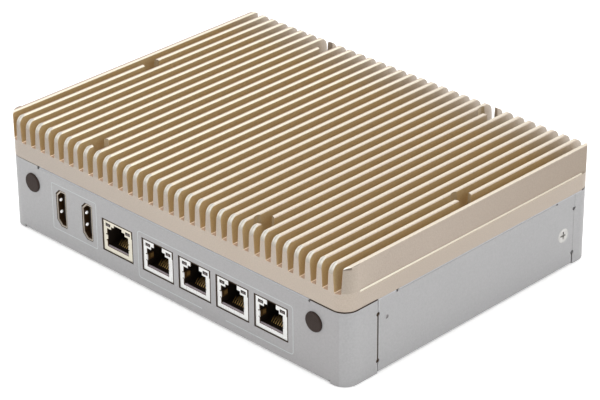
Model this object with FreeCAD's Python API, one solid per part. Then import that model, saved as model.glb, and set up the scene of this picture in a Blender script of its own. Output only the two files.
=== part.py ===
import FreeCAD, Part
import math
import os

# Fanless industrial PC: finned aluminium lid on a folded sheet-metal chassis.
# Millimetres, +Z up, origin at the centre of the footprint on the chassis' underside.
# The wall with the network jacks faces -Y, and +X is to its right.

V = FreeCAD.Vector

# ---------------------------------------------------------------- overall sizes
case_width = 176.0            # X
case_depth = 132.0            # Y
chassis_height = 29.5         # underside to the lid's underside
slab_thickness = 6.9          # lid's slab, up to the slot floors
fin_height = 10.35            # slot floor to fin tips
corner_radius = 6.0           # upright corners of lid and chassis

# ---------------------------------------------------------------- fins
fin_pitch = 5.41
slot_floor = 2.45             # slot width at its floor
slot_mouth = 3.6              # slot width at the fin tips
slot_fillet = 0.35
outer_fin = 2.0               # least foot of the two outer fins
fin_inset = 0.6               # outer fins are milled back from the slab's sides
ledge_drop = 0.4              # the milled ledge lies below the slot floors
ledge_start = 7.0             # from the front; it runs out at the rear
fin_end_radius = 3.3          # rounded front and rear tips
tip_break = 0.3               # bevel along the fin tips
lid_edge_break = 0.3          # bevel round the lid's lower edge
recess_depth = 2.4            # hollow in the lid's underside
recess_rim = 16.5             # its distance from the lid's outline

# ---------------------------------------------------------------- folded sheet
sheet = 1.2
fold_radius = 1.2             # outer radius of a folded edge
seam_gap = 0.3                # hairline between two sheet edges
raw_edge_drop = 0.4           # unfolded top edges stop this far below the lid
flange_depth = 13.4           # front and rear top flanges, from the outer wall
side_flange_depth = 14.8
front_wrap = 16.0             # front wall's return along each side, to its seam
rear_wrap = 10.2              # rear panel's return
front_fold_inset = 17.0       # from the case's sides to the front flange's ends
rear_fold_inset = 7.9
low_fold_inset = 7.6          # folded lower edges start this far from the case's sides
side_fold_front = 25.8        # side flange's ends, from the front and the rear
side_fold_rear = 20.1
notch_width = 0.9             # bend relief at the end of a fold
notch_height = 1.1
relief_diameter = 1.7         # round reliefs in the upright seams
relief_low = 4.9
relief_drop = 6.0             # upper relief, below the chassis' top
seam_slit = 0.75              # wider stretch of an upright seam
lap_root = 3.0                # lap tab's part on the wrap that carries it
lap_front = 7.0               # lap tab's reach behind the side wall
lap_rear = 10.5
lap_margin = 2.5              # lap tab's distance from floor and flange
floor_lap_width = 136.0       # rear panel's lap tab on the chassis' floor
weld_mark = 1.6               # spot weld's dimple on each side wall
weld_mark_depth = 0.25
weld_mark_setback = 4.6       # behind the front seam
weld_mark_level = 20.75

# ---------------------------------------------------------------- lid screws and clinched nuts
pocket_diameter = 7.4
pocket_sink = 0.8             # pocket floor below the slot floors
lid_screw_spacing = 84.2      # between the two screws at the front, and at the rear
side_lid_screw_y = 1.1
rear_screw_shift = 1.3        # rear lid screws stand nearer the rear edge than the front ones
hole_clearance = 0.2          # plain holes over the thread's radius
thread_gap = 0.02             # tapped holes over the thread's radius
screw_diameter = 3.0
lid_head_diameter = 5.6
lid_head_height = 2.3
nut_diameter = 6.4
nut_height = 3.2
cross_length = 3.2            # cross recess of every screw head
cross_width = 0.75
cross_depth = 0.9
thread_bevel = 0.3

# ---------------------------------------------------------------- board
standoff_height = 5.2
standoff_diameter = 6.0
standoff_inset_x = 13.0       # from the case's sides
standoff_inset_front = 22.5
standoff_inset_rear = 13.0
board_thickness = 1.6
board_side_gap = 7.0          # case outline to board edge
board_end_gap = 1.3           # front and rear wall to board edge
board_head_diameter = 5.5
board_head_height = 1.9
board_screw_length = 5.0
mount_spacing = 75.0          # bracket holes in the underside, both ways
mount_hole = 3.3              # tapped M4
mount_nut_diameter = 7.4
mount_nut_height = 3.2

# ---------------------------------------------------------------- network jacks
jack_width = 15.6
jack_height = 12.5
jack_depth = 21.0
jack_gap = 0.6                # shield to the wall's opening, at the sides and above
jack_gap_low = 0.4            # and below
jack_recess = 0.3             # shield's face behind the wall's face
single_jack_x = -27.3         # jack that stands apart
first_jack_x = -5.6           # first jack of the row
jack_pitch = 19.32
row_jacks = 4
shield = 0.3
face_plate = 0.5              # shield's front
port_half = 6.0               # plug opening
port_low = 1.75               # above the jack's underside
port_high = 9.35
latch_wide_half = 3.7         # stepped way for the plug's latch
latch_wide_high = 10.6
latch_half = 2.2
latch_high = 11.7             # closed latch way of the single jack
roof_cut = 3.0                # open latch way's notch in the shield's roof
port_depth = 14.0
spring_low = 4.35             # shield's side springs
spring_high = 6.85
spring_reach = 0.35
spring_depth = 3.0
light_width = 2.6
light_height = 1.35
light_offset = 5.35           # from the jack's middle
light_level = 10.8            # above its underside
light_length = 8.0
fit_gap = 0.05                # small parts pressed into one another
wire_count = 8
wire_pitch = 1.02
wire_size = 0.35
wire_start = 5.0              # behind the jack's face
wire_top = 11.0
wire_rise = 3.2               # above the port's floor
lip_setback = 0.9             # raised lip on the port's floor
lip_depth = 0.7
lip_height = 0.4

# ---------------------------------------------------------------- upright video sockets
first_video_x = -58.5
video_pitch = 14.6
video_sockets = 2
video_level = 16.05           # middle of the sockets
video_height = 14.8
video_width = 5.3
video_gap = 0.3
video_chamfer = 2.2
video_corner = 0.6            # rounding of the wide side's corners
video_wall = 0.45
video_depth = 12.0
video_recess = 0.15
video_leg = 1.2
tongue_height = 11.2
tongue_thickness = 1.0
tongue_recess = 1.6
tongue_base = 4.0

# ---------------------------------------------------------------- hole plugs
plug_inset_left = 13.5        # from the case's sides
plug_inset_right = 14.7
plug_level = 21.5
plug_diameter = 7.7
plug_hole = 6.2
plug_rise = 0.7
plug_barb = 0.35
plug_barb_length = 2.0

# ---------------------------------------------------------------- countersunk side screws
side_screw_setback = 15.7     # from the case's rear
side_screw_level = 14.15
side_head_diameter = 5.6
side_screw_length = 5.0
side_nut_height = 2.2

# ---------------------------------------------------------------- processor and its way to the lid
package_size = 31.0
package_thickness = 1.1
spreader_size = 25.0
spreader_thickness = 1.6
spreader_corner = 2.0
pad_inset = 0.5               # pad's edge inside the spreader's
pad_thickness = 0.6
block_size = 48.0
block_hole_inset = 5.0
block_head_sink = 6.0
block_screw_grip = 3.2        # thread inside the lid

# ---------------------------------------------------------------- modules on the board
memory_gap = 3.8              # module to the cell's holder
memory_width = 30.0
memory_length = 69.6
memory_thickness = 1.0
memory_rise = 3.0
memory_socket_depth = 6.5
memory_socket_height = 5.2
memory_grip = 4.0             # module's edge inside its socket
memory_arm = 2.2
memory_chip_width = 12.0
memory_chip_length = 9.0
memory_chips = 4
storage_gap = 2.0             # module to the left standoffs
storage_width = 22.0
storage_length = 80.0
storage_thickness = 0.8
storage_rise = 2.6
storage_socket_depth = 8.5
storage_socket_height = 4.2
storage_grip = 4.0
storage_post_diameter = 5.5
storage_head_height = 1.2
storage_chip_size = 14.0
storage_chips = 3
chip_height = 1.2
cell_edge_gap = 1.8           # holder to the board's right edge
cell_diameter = 20.0
cell_thickness = 3.2
cell_step = 0.9               # the cell's narrower lower face
cell_step_rise = 0.6
cell_edge_break = 0.3
cell_stand_out = 1.0          # cell's top above its holder
holder_wall = 1.2
holder_floor = 1.0
holder_gate = 10.0            # finger gap in the holder's front

# ---------------------------------------------------------------- rear sockets
first_usb_x = 8.0
usb_pitch = 24.0
usb_sockets = 2
usb_width = 13.3
usb_height = 15.6
usb_depth = 17.5
usb_wall = 0.4
usb_gap = 0.35
usb_recess = 0.3
usb_bar = 3.6                 # between the two openings
usb_base = 7.0
blade_width = 11.2
blade_thickness = 1.9
blade_recess = 1.5
inlet_inset = 30.0            # from the case's left side
inlet_hole = 8.0
inlet_width = 9.4
inlet_height = 11.0
inlet_depth = 14.0
inlet_bore = 6.3
inlet_bore_depth = 10.0
inlet_level = 6.0             # bore's middle above the board
inlet_pin = 2.0
inlet_pin_recess = 0.8
inlet_pin_round = 0.6

# ---------------------------------------------------------------- derived places
front = -case_depth / 2
rear = case_depth / 2
side = case_width / 2
slot_level = chassis_height + slab_thickness
lid_top = slot_level + fin_height
pocket_floor = slot_level - pocket_sink
recess_ceiling = chassis_height + recess_depth
front_seam = front + front_wrap
rear_seam = rear - rear_wrap
flange_under = chassis_height - sheet
relief_high = chassis_height - relief_drop
lid_screw_inset = (flange_depth + sheet) / 2
side_lid_screw_inset = (side_flange_depth + sheet) / 2
board_bottom = sheet + standoff_height
board_top = board_bottom + board_thickness
jack_face = front + jack_recess
jack_places = [single_jack_x] + [first_jack_x + k * jack_pitch for k in range(row_jacks)]
plug_places = {"left": plug_inset_left - side, "right": side - plug_inset_right}
video_places = [first_video_x + k * video_pitch for k in range(video_sockets)]
usb_places = [first_usb_x + k * usb_pitch for k in range(usb_sockets)]
inlet_x = inlet_inset - side
side_screw_y = rear - side_screw_setback
spreader_top = board_top + package_thickness + spreader_thickness
block_low = spreader_top + pad_thickness

# modules lie across the board between the sockets at its front and rear
board_half = side - board_side_gap
holder_diameter = cell_diameter + 2 * holder_wall
module_y = (jack_face + jack_depth + rear - usb_recess - usb_depth) / 2
cell_x = board_half - cell_edge_gap - holder_diameter / 2
memory_x = cell_x - holder_diameter / 2 - memory_gap - memory_width / 2
memory_socket_left = memory_x - memory_width / 2 + memory_grip - memory_socket_depth
storage_x = standoff_inset_x - side + standoff_diameter / 2 + storage_gap + storage_width / 2
video_back = front + video_recess + video_depth
inlet_front = rear - sheet - fit_gap - inlet_depth
storage_reach = storage_socket_depth - storage_grip
storage_span = storage_reach + storage_length + storage_post_diameter / 2
storage_front = (video_back + inlet_front - storage_span) / 2 + storage_reach
storage_end = storage_front + storage_length
processor_x = (storage_x + storage_width / 2 + memory_socket_left) / 2
lid_screw_places = [
    (-lid_screw_spacing / 2, front + lid_screw_inset),
    (lid_screw_spacing / 2, front + lid_screw_inset),
    (-lid_screw_spacing / 2, rear - lid_screw_inset + rear_screw_shift),
    (lid_screw_spacing / 2, rear - lid_screw_inset + rear_screw_shift),
    (-side + side_lid_screw_inset, side_lid_screw_y),
    (side - side_lid_screw_inset, side_lid_screw_y),
]
standoff_places = [
    (sx * (side - standoff_inset_x), y)
    for sx in (-1, 1)
    for y in (front + standoff_inset_front, rear - standoff_inset_rear)
]
block_screw_places = [
    (processor_x + sx * (block_size / 2 - block_hole_inset),
     module_y + sy * (block_size / 2 - block_hole_inset))
    for sx in (-1, 1)
    for sy in (-1, 1)
]


# ---------------------------------------------------------------- small helpers
def block(x0, y0, z0, x1, y1, z1):
    return Part.makeBox(x1 - x0, y1 - y0, z1 - z0, V(x0, y0, z0))


def rod(diameter, start, end):
    way = end - start
    return Part.makeCylinder(diameter / 2, way.Length, start, way)


def upright(diameter, x, y, z0, z1):
    return rod(diameter, V(x, y, z0), V(x, y, z1))


def prism(points, way):
    return Part.Face(Part.makePolygon(points + [points[0]])).extrude(way)


def fused(shapes):
    return shapes[0].multiFuse(shapes[1:]).removeSplitter()


def plan_block(half_x, half_y, radius, z0, z1):
    """Upright block with rounded corners, centred on the origin."""
    body = block(-half_x, -half_y, z0, half_x, half_y, z1)
    uprights = [e for e in body.Edges if abs(e.tangentAt(e.FirstParameter).z) > 0.9]
    return body.makeFillet(radius, uprights)


def edge_round(corner, along, into_a, into_b, radius):
    """What a fold takes off a square edge that starts at corner and runs along."""
    a = corner + into_a * radius
    b = corner + into_b * radius
    middle = corner + (into_a + into_b) * (radius * (1 - math.sqrt(0.5)))
    outline = Part.Wire([
        Part.makeLine(corner, a),
        Part.Arc(a, middle, b).toShape(),
        Part.makeLine(b, corner),
    ])
    return Part.Face(outline).extrude(along)


def turned(profile, base, axis):
    """Solid turned from (radius, height) points about the axis through base."""
    points = [V(r, 0, h) for r, h in profile]
    face = Part.Face(Part.makePolygon(points + [points[0]]))
    body = face.revolve(V(0, 0, 0), V(0, 0, 1), 360)
    body.Placement = FreeCAD.Placement(base, FreeCAD.Rotation(V(0, 0, 1), axis))
    return body


def cross_recess(base, axis):
    """Tapered cross sunk into a screw head whose top is at base, with axis pointing out."""
    arms = []
    for turn in (0, 90):
        half = cross_length / 2
        arm = prism([
            V(-half, -cross_width / 2, 0),
            V(half, -cross_width / 2, 0),
            V(half * 0.5, -cross_width / 2, -cross_depth),
            V(-half * 0.5, -cross_width / 2, -cross_depth),
        ], V(0, cross_width, 0))
        arm.rotate(V(0, 0, 0), V(0, 0, 1), turn)
        arms.append(arm)
    cutter = fused(arms)
    cutter.Placement = FreeCAD.Placement(base, FreeCAD.Rotation(V(0, 0, 1), axis))
    return cutter


def pan_screw(seat, axis, head_diameter, head_height, length):
    """Screw whose head stands on seat along axis, with its thread the other way."""
    head = head_diameter / 2
    thread = screw_diameter / 2
    crown = head_height * 0.35
    body = turned([
        (0, -length),
        (thread - thread_bevel, -length),
        (thread, -length + thread_bevel),
        (thread, 0),
        (head, 0),
        (head, head_height - crown),
        (head * 0.82, head_height - crown * 0.35),
        (head * 0.55, head_height),
        (0, head_height),
    ], seat, axis)
    return body.cut(cross_recess(seat + axis * head_height, axis))


# ---------------------------------------------------------------- lid
def slot_cutter():
    """One slot's section, tapered, with a rounded floor and bevelled mouth, along Y."""
    floor = slot_floor / 2
    mouth = slot_mouth / 2
    y = front - 1
    body = prism([
        V(-floor, y, slot_level),
        V(floor, y, slot_level),
        V(mouth, y, lid_top - tip_break),
        V(mouth + tip_break, y, lid_top),
        V(mouth + tip_break, y, lid_top + 1),
        V(-mouth - tip_break, y, lid_top + 1),
        V(-mouth - tip_break, y, lid_top),
        V(-mouth, y, lid_top - tip_break),
    ], V(0, case_depth + 2, 0))
    floor_edges = []
    for edge in body.Edges:
        middle = edge.CenterOfMass
        along_y = abs(edge.tangentAt(edge.FirstParameter).y) > 0.9
        if along_y and abs(middle.z - slot_level) < 0.01:
            floor_edges.append(edge)
    return body.makeFillet(slot_fillet, floor_edges)


def lid_blank():
    ledge = slot_level - ledge_drop
    slab = plan_block(side, rear, corner_radius, chassis_height, ledge)
    low_edges = [e for e in slab.Edges if abs(e.CenterOfMass.z - chassis_height) < 0.01]
    slab = slab.makeChamfer(lid_edge_break, low_edges)
    fins = plan_block(side, rear, corner_radius, ledge, lid_top)
    milled = [block(x, front + ledge_start, ledge, x + fin_inset, rear, lid_top)
              for x in (-side, side - fin_inset)]
    return slab.fuse(fins).cut(milled)


def heatsink_lid():
    slot_count = int((case_width - 2 * (fin_inset + outer_fin) - slot_floor) / fin_pitch) + 1
    cutters = []
    for k in range(slot_count):
        cutter = slot_cutter()
        cutter.translate(V((k - (slot_count - 1) / 2) * fin_pitch, 0, 0))
        cutters.append(cutter)
    run = V(case_width, 0, 0)
    cutters.append(edge_round(V(-side, front, lid_top), run, V(0, 1, 0), V(0, 0, -1), fin_end_radius))
    cutters.append(edge_round(V(-side, rear, lid_top), run, V(0, -1, 0), V(0, 0, -1), fin_end_radius))
    for x, y in lid_screw_places:
        cutters.append(upright(pocket_diameter, x, y, pocket_floor, lid_top + 1))
        hole = screw_diameter + 2 * hole_clearance
        cutters.append(upright(hole, x, y, chassis_height - 1, pocket_floor))
    hollow = plan_block(side - recess_rim, rear - recess_rim, corner_radius,
                        chassis_height - 1, recess_ceiling)
    cutters.append(hollow)
    tapped = screw_diameter + 2 * thread_gap
    for x, y in block_screw_places:
        cutters.append(upright(tapped, x, y, recess_ceiling - 1, recess_ceiling + block_screw_grip))
    return lid_blank().cut(cutters)


# ---------------------------------------------------------------- chassis and rear panel
def top_flanges():
    """Inward flanges under the lid, by the wall that each is folded from."""
    low, high = flange_under, chassis_height
    return {
        "front": block(-side + front_fold_inset, front, low,
                       side - front_fold_inset, front + flange_depth, high),
        "rear": block(-side + rear_fold_inset, rear - flange_depth, low,
                      side - rear_fold_inset, rear, high),
        "left": block(-side, front + side_fold_front, low,
                      -side + side_flange_depth, rear - side_fold_rear, high),
        "right": block(side - side_flange_depth, front + side_fold_front, low,
                       side, rear - side_fold_rear, high),
    }


def fold_cutters():
    """Rounds off every folded edge of the shell."""
    up, down = V(0, 0, 1), V(0, 0, -1)
    in_y, out_y = V(0, 1, 0), V(0, -1, 0)
    in_x, out_x = V(1, 0, 0), V(-1, 0, 0)
    top = chassis_height
    low_run = V(case_width - 2 * low_fold_inset, 0, 0)
    front_run = V(case_width - 2 * front_fold_inset, 0, 0)
    rear_run = V(case_width - 2 * rear_fold_inset, 0, 0)
    side_run = V(0, case_depth - side_fold_front - side_fold_rear, 0)
    side_low_run = V(0, rear_seam - front_seam, 0)
    return [
        edge_round(V(-side + low_fold_inset, front, 0), low_run, in_y, up, fold_radius),
        edge_round(V(-side + low_fold_inset, rear, 0), low_run, out_y, up, fold_radius),
        edge_round(V(-side + front_fold_inset, front, top), front_run, in_y, down, fold_radius),
        edge_round(V(-side + rear_fold_inset, rear, top), rear_run, out_y, down, fold_radius),
        edge_round(V(-side, front_seam, 0), side_low_run, in_x, up, fold_radius),
        edge_round(V(side, front_seam, 0), side_low_run, out_x, up, fold_radius),
        edge_round(V(-side, front + side_fold_front, top), side_run, in_x, down, fold_radius),
        edge_round(V(side, front + side_fold_front, top), side_run, out_x, down, fold_radius),
    ]


def notch_cutters():
    """Bend reliefs at the ends of the folds."""
    half = notch_width / 2
    deep = sheet + seam_gap
    high = chassis_height
    cutters = []
    for x, y_in, y_out in (
        (-side + front_fold_inset, front + deep, front),
        (side - front_fold_inset, front + deep, front),
        (-side + rear_fold_inset, rear - deep, rear),
        (side - rear_fold_inset, rear - deep, rear),
    ):
        y0, y1 = sorted((y_in, y_out))
        cutters.append(block(x - half, y0, high - notch_height, x + half, y1, high))
    for sx in (-1, 1):
        x = sx * (side - low_fold_inset)
        cutters.append(block(x - half, front, 0, x + half, front + deep, notch_height))
        cutters.append(block(x - half, rear - deep, 0, x + half, rear, notch_height))
        x0, x1 = sorted((sx * side, sx * (side - deep)))
        for y in (front + side_fold_front, rear - side_fold_rear):
            cutters.append(block(x0, y - half, high - notch_height, x1, y + half, high))
    return cutters


def raw_edge_trim(flanges):
    """Lowers the top edges that carry no flange, but for the front left corner's, which
    reaches the lid."""
    low = chassis_height - raw_edge_drop
    ring = plan_block(side, rear, corner_radius, low, chassis_height)
    corner = block(-side, front, low, -side + front_fold_inset, front_seam, chassis_height)
    return ring.cut(list(flanges.values()) + [corner])


def corner_slits():
    """Gaps between the floor and the wrapped corners, which end in plain edges."""
    outer = plan_block(side - sheet, rear - sheet, corner_radius - sheet, 0, sheet)
    inner = plan_block(side - sheet - seam_gap, rear - sheet - seam_gap,
                       corner_radius - sheet - seam_gap, 0, sheet)
    ring = outer.cut(inner)
    cutters = []
    for sx in (-1, 1):
        x0, x1 = sorted((sx * (side - low_fold_inset), sx * side))
        cutters.append(ring.common(block(x0, front, 0, x1, front_seam + seam_gap, sheet)))
        cutters.append(ring.common(block(x0, rear_seam, 0, x1, rear, sheet)))
    return cutters


def seam_cutters():
    """Upright seams between the wraps and the side walls."""
    cutters = []
    wide = seam_slit / 2
    for sx in (-1, 1):
        wall_in = sx * (side - sheet - seam_gap)
        wall_out = sx * side
        x0, x1 = sorted((wall_in, wall_out))
        middle = front_seam + seam_gap / 2
        cutters.append(block(x0, front_seam, 0, x1, front_seam + seam_gap, chassis_height))
        cutters.append(block(x0, middle - wide, relief_low, x1, middle + wide, relief_high))
        back = rear_seam + seam_gap / 2
        cutters.append(block(x0, back - wide, 0, x1, back + wide, relief_low))
        cutters.append(block(x0, back - wide, relief_high, x1, back + wide, chassis_height))
        for y in (middle, back):
            for z in (relief_low, relief_high):
                cutters.append(rod(relief_diameter, V(x0, y, z), V(x1, y, z)))
        weld_y = front_seam + weld_mark_setback
        weld = V(sx * (side - weld_mark_depth), weld_y, weld_mark_level)
        cutters.append(rod(weld_mark, weld, V(wall_out, weld_y, weld_mark_level)))
    return cutters


def folded_shell():
    """All four walls, floor and top flanges, with seams and reliefs cut, but one body."""
    outer = plan_block(side, rear, corner_radius, 0, chassis_height)
    inner = plan_block(side - sheet, rear - sheet, corner_radius - sheet, sheet, chassis_height)
    flanges = top_flanges()
    body = outer.cut(inner).fuse(list(flanges.values()))
    body = body.cut([raw_edge_trim(flanges)])
    body = body.cut(fold_cutters() + notch_cutters())
    return body.cut(corner_slits() + seam_cutters())


def lap_tab(sx, y0, y1):
    """Strip behind a side wall that closes a seam."""
    x0, x1 = sorted((sx * (side - sheet), sx * (side - 2 * sheet)))
    return block(x0, y0, sheet + lap_margin, x1, y1, flange_under - lap_margin)


def clinched_nuts(places):
    return [upright(nut_diameter, x, y, flange_under - nut_height, flange_under) for x, y in places]


def nut_holes(places):
    tapped = screw_diameter + 2 * thread_gap
    return [upright(tapped, x, y, flange_under - nut_height, chassis_height) for x, y in places]


def jack_opening(x):
    half = jack_width / 2 + jack_gap
    return block(x - half, front, board_top - jack_gap_low,
                 x + half, front + sheet, board_top + jack_height + jack_gap)


def video_section(x, y, grow):
    """Upright socket outline: wide side to +X, its other corners cut away; grown all round."""
    half_w = video_width / 2 + grow
    half_h = video_height / 2 + grow
    cut = video_chamfer + grow * math.tan(math.pi / 8)
    r = video_corner + grow
    left, right = x - half_w, x + half_w
    low, high = video_level - half_h, video_level + half_h
    bulge = r * math.sqrt(0.5)

    def arc(start, centre, end, dx, dz):
        middle = centre + V(dx * bulge, 0, dz * bulge)
        return Part.Arc(start, middle, end).toShape()

    edges = [
        Part.makeLine(V(left, y, low + cut), V(left + cut, y, low)),
        Part.makeLine(V(left + cut, y, low), V(right - r, y, low)),
        arc(V(right - r, y, low), V(right - r, y, low + r), V(right, y, low + r), 1, -1),
        Part.makeLine(V(right, y, low + r), V(right, y, high - r)),
        arc(V(right, y, high - r), V(right - r, y, high - r), V(right - r, y, high), 1, 1),
        Part.makeLine(V(right - r, y, high), V(left + cut, y, high)),
        Part.makeLine(V(left + cut, y, high), V(left, y, high - cut)),
        Part.makeLine(V(left, y, high - cut), V(left, y, low + cut)),
    ]
    return Part.Face(Part.Wire(edges))


def countersink(sx, clearance):
    """90 degree cone through a side wall, wider by the clearance."""
    big = side_head_diameter / 2 + clearance
    base = V(sx * side, side_screw_y, side_screw_level)
    return Part.makeCone(big, big - sheet, sheet, base, V(-sx, 0, 0))


def rear_region(seam):
    """Space of the rear panel: all behind the seam, and its flange's reach under the lid."""
    behind = block(-side, seam, 0, side, rear, chassis_height)
    return behind.fuse(top_flanges()["rear"])


def chassis_tray():
    body = folded_shell().cut(rear_region(rear_seam))
    extras = []
    for sx in (-1, 1):
        extras.append(lap_tab(sx, front_seam - lap_root, front_seam + lap_front))
    nut_places = lid_screw_places[:2] + lid_screw_places[4:]
    extras += clinched_nuts(nut_places)
    for x, y in standoff_places:
        extras.append(upright(standoff_diameter, x, y, sheet, board_bottom))
    half = mount_spacing / 2
    mount_places = [(sx * half, sy * half) for sx in (-1, 1) for sy in (-1, 1)]
    for x, y in mount_places:
        extras.append(upright(mount_nut_diameter, x, y, sheet, sheet + mount_nut_height))
    body = body.fuse(extras)
    cutters = nut_holes(nut_places)
    tapped = screw_diameter + 2 * thread_gap
    for x, y in standoff_places:
        cutters.append(upright(tapped, x, y, sheet, board_bottom))
    for x, y in mount_places:
        cutters.append(upright(mount_hole, x, y, 0, sheet + mount_nut_height))
    cutters += [jack_opening(x) for x in jack_places]
    cutters += [video_section(x, front, video_gap).extrude(V(0, sheet, 0)) for x in video_places]
    for x in plug_places.values():
        cutters.append(rod(plug_hole, V(x, front, plug_level), V(x, front + sheet, plug_level)))
    cutters += [countersink(sx, fit_gap) for sx in (-1, 1)]
    return body.cut(cutters).removeSplitter()


def rear_panel():
    body = folded_shell().common(rear_region(rear_seam + seam_gap))
    extras = [block(-floor_lap_width / 2, rear_seam - lap_rear, sheet,
                    floor_lap_width / 2, rear_seam + lap_root, 2 * sheet)]
    for sx in (-1, 1):
        extras.append(lap_tab(sx, rear_seam - lap_rear, rear_seam + lap_root))
        wall = V(sx * (side - 2 * sheet), side_screw_y, side_screw_level)
        extras.append(rod(nut_diameter, wall, wall - V(sx * side_nut_height, 0, 0)))
    rear_places = lid_screw_places[2:4]
    extras += clinched_nuts(rear_places)
    body = body.fuse(extras)
    cutters = nut_holes(rear_places)
    tapped = screw_diameter + 2 * thread_gap
    for sx in (-1, 1):
        wall = V(sx * side, side_screw_y, side_screw_level)
        reach = 2 * sheet + side_nut_height
        cutters.append(rod(tapped, wall, wall - V(sx * reach, 0, 0)))
    for x in usb_places:
        half = usb_width / 2 + usb_gap
        cutters.append(block(x - half, rear - sheet, board_top - usb_gap,
                             x + half, rear, board_top + usb_height + usb_gap))
    inlet_z = board_top + inlet_level
    cutters.append(rod(inlet_hole, V(inlet_x, rear - sheet, inlet_z), V(inlet_x, rear, inlet_z)))
    return body.cut(cutters).removeSplitter()


# ---------------------------------------------------------------- fasteners and plugs
def lid_screw(x, y):
    length = pocket_floor - flange_under + nut_height
    return pan_screw(V(x, y, pocket_floor), V(0, 0, 1), lid_head_diameter, lid_head_height, length)


def side_screw(sx):
    head = side_head_diameter / 2
    thread = screw_diameter / 2
    body = turned([
        (0, 0),
        (head, 0),
        (head - sheet, -sheet),
        (thread, -sheet),
        (thread, -side_screw_length + thread_bevel),
        (thread - thread_bevel, -side_screw_length),
        (0, -side_screw_length),
    ], V(sx * side, side_screw_y, side_screw_level), V(sx, 0, 0))
    top = V(sx * side, side_screw_y, side_screw_level)
    return body.cut(cross_recess(top, V(sx, 0, 0)))


def hole_plug(x):
    head = plug_diameter / 2
    neck = plug_hole / 2 - fit_gap
    edge = plug_rise * 0.6
    behind = -sheet - fit_gap
    return turned([
        (0, plug_rise),
        (head - edge, plug_rise),
        (head - edge * 0.3, plug_rise - edge * 0.3),
        (head, plug_rise - edge),
        (head, 0),
        (neck, 0),
        (neck, behind),
        (neck + plug_barb, behind - plug_barb),
        (neck - plug_barb, behind - plug_barb_length),
        (0, behind - plug_barb_length),
    ], V(x, front, plug_level), V(0, -1, 0))


# ---------------------------------------------------------------- network jacks
def port_outline(y, x, grow, latch_top):
    """Stepped plug opening: port, then two steps of the latch way, up to latch_top."""
    low = board_top + port_low - grow
    shoulder = board_top + port_high + grow
    step = board_top + latch_wide_high + grow
    port = port_half + grow
    wide = latch_wide_half + grow
    narrow = latch_half + grow
    right = [(port, low), (port, shoulder), (wide, shoulder), (wide, step), (narrow, step),
             (narrow, latch_top)]
    left = [(-u, w) for u, w in reversed(right)]
    return [V(x + u, y, w) for u, w in right + left]


def light_holes(x, y0, y1, gap):
    half_w = light_width / 2 + gap
    half_h = light_height / 2 + gap
    z = board_top + light_level
    return [
        block(x + sx * light_offset - half_w, y0, z - half_h,
              x + sx * light_offset + half_w, y1, z + half_h)
        for sx in (-1, 1)
    ]


def jack_shield(x, open_top):
    half = jack_width / 2
    top = board_top + jack_height
    body = block(x - half, jack_face, board_top, x + half, jack_face + jack_depth, top)
    room = block(x - half + shield, jack_face + face_plate, board_top,
                 x + half - shield, jack_face + jack_depth - shield, top - shield)
    latch_top = top if open_top else board_top + latch_high
    mouth = prism(port_outline(jack_face, x, 0, latch_top), V(0, face_plate, 0))
    body = body.cut([room, mouth] + light_holes(x, jack_face, jack_face + face_plate, 0))
    if not open_top:
        return body
    body = body.cut(block(x - latch_half, jack_face, top - shield,
                          x + latch_half, jack_face + roof_cut, top))
    springs = []
    for sx in (-1, 1):
        x0, x1 = sorted((x + sx * port_half, x + sx * (port_half - spring_reach)))
        springs.append(block(x0, jack_face, board_top + spring_low,
                             x1, jack_face + spring_depth, board_top + spring_high))
    return body.fuse(springs).removeSplitter()


def jack_insert(x, open_top):
    half = jack_width / 2 - shield - fit_gap
    top = board_top + jack_height - shield - fit_gap
    y0 = jack_face + face_plate
    y1 = jack_face + jack_depth - shield - fit_gap
    body = block(x - half, y0, board_top, x + half, y1, top)
    latch_top = top if open_top else board_top + latch_high + fit_gap
    port = prism(port_outline(y0, x, fit_gap, latch_top), V(0, port_depth - face_plate, 0))
    body = body.cut([port] + light_holes(x, y0, jack_face + light_length + fit_gap, fit_gap))
    floor = board_top + port_low - fit_gap
    lip = block(x - port_half, jack_face + lip_setback, floor,
                x + port_half, jack_face + lip_setback + lip_depth, floor + lip_height)
    return body.fuse(lip)


def jack_wires(x):
    """Row of gold springs that rise from the port's floor to its rear wall."""
    floor = board_top + port_low - fit_gap
    start = jack_face + wire_start
    bend = jack_face + wire_top
    end = jack_face + port_depth
    high = floor + wire_rise
    slope = math.atan2(high - wire_size - floor, bend - start)
    foot = wire_size / math.sin(slope)
    elbow = wire_size * math.tan(slope / 2)
    wires = []
    for k in range(wire_count):
        left = x + (k - (wire_count - 1) / 2) * wire_pitch - wire_size / 2
        wires.append(prism([
            V(left, start, floor),
            V(left, start + foot, floor),
            V(left, bend + elbow, high - wire_size),
            V(left, end, high - wire_size),
            V(left, end, high),
            V(left, bend, high),
        ], V(wire_size, 0, 0)))
    return Part.makeCompound(wires)


def jack_lights(x):
    return Part.makeCompound(light_holes(x, jack_face + fit_gap, jack_face + light_length, -fit_gap))


# ---------------------------------------------------------------- upright video sockets
def video_shell(x):
    y0 = front + video_recess
    body = video_section(x, y0, 0).extrude(V(0, video_depth, 0))
    hollow = video_section(x, y0, -video_wall).extrude(V(0, video_depth, 0))
    under = video_level - video_height / 2
    legs = []
    for y in (y0 + video_leg * 2, y0 + video_depth - video_leg * 2):
        legs.append(block(x - video_leg / 2, y, board_top, x + video_leg, y + video_leg,
                          under + video_wall / 2))
    return body.fuse(legs).cut(hollow).removeSplitter()


def video_tongue(x):
    y0 = front + video_recess
    back = y0 + video_depth
    base = video_section(x, back - tongue_base, -video_wall - fit_gap).extrude(V(0, tongue_base, 0))
    blade = block(x - tongue_thickness / 2, y0 + tongue_recess, video_level - tongue_height / 2,
                  x + tongue_thickness / 2, back - tongue_base / 2, video_level + tongue_height / 2)
    return base.fuse(blade).removeSplitter()


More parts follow.
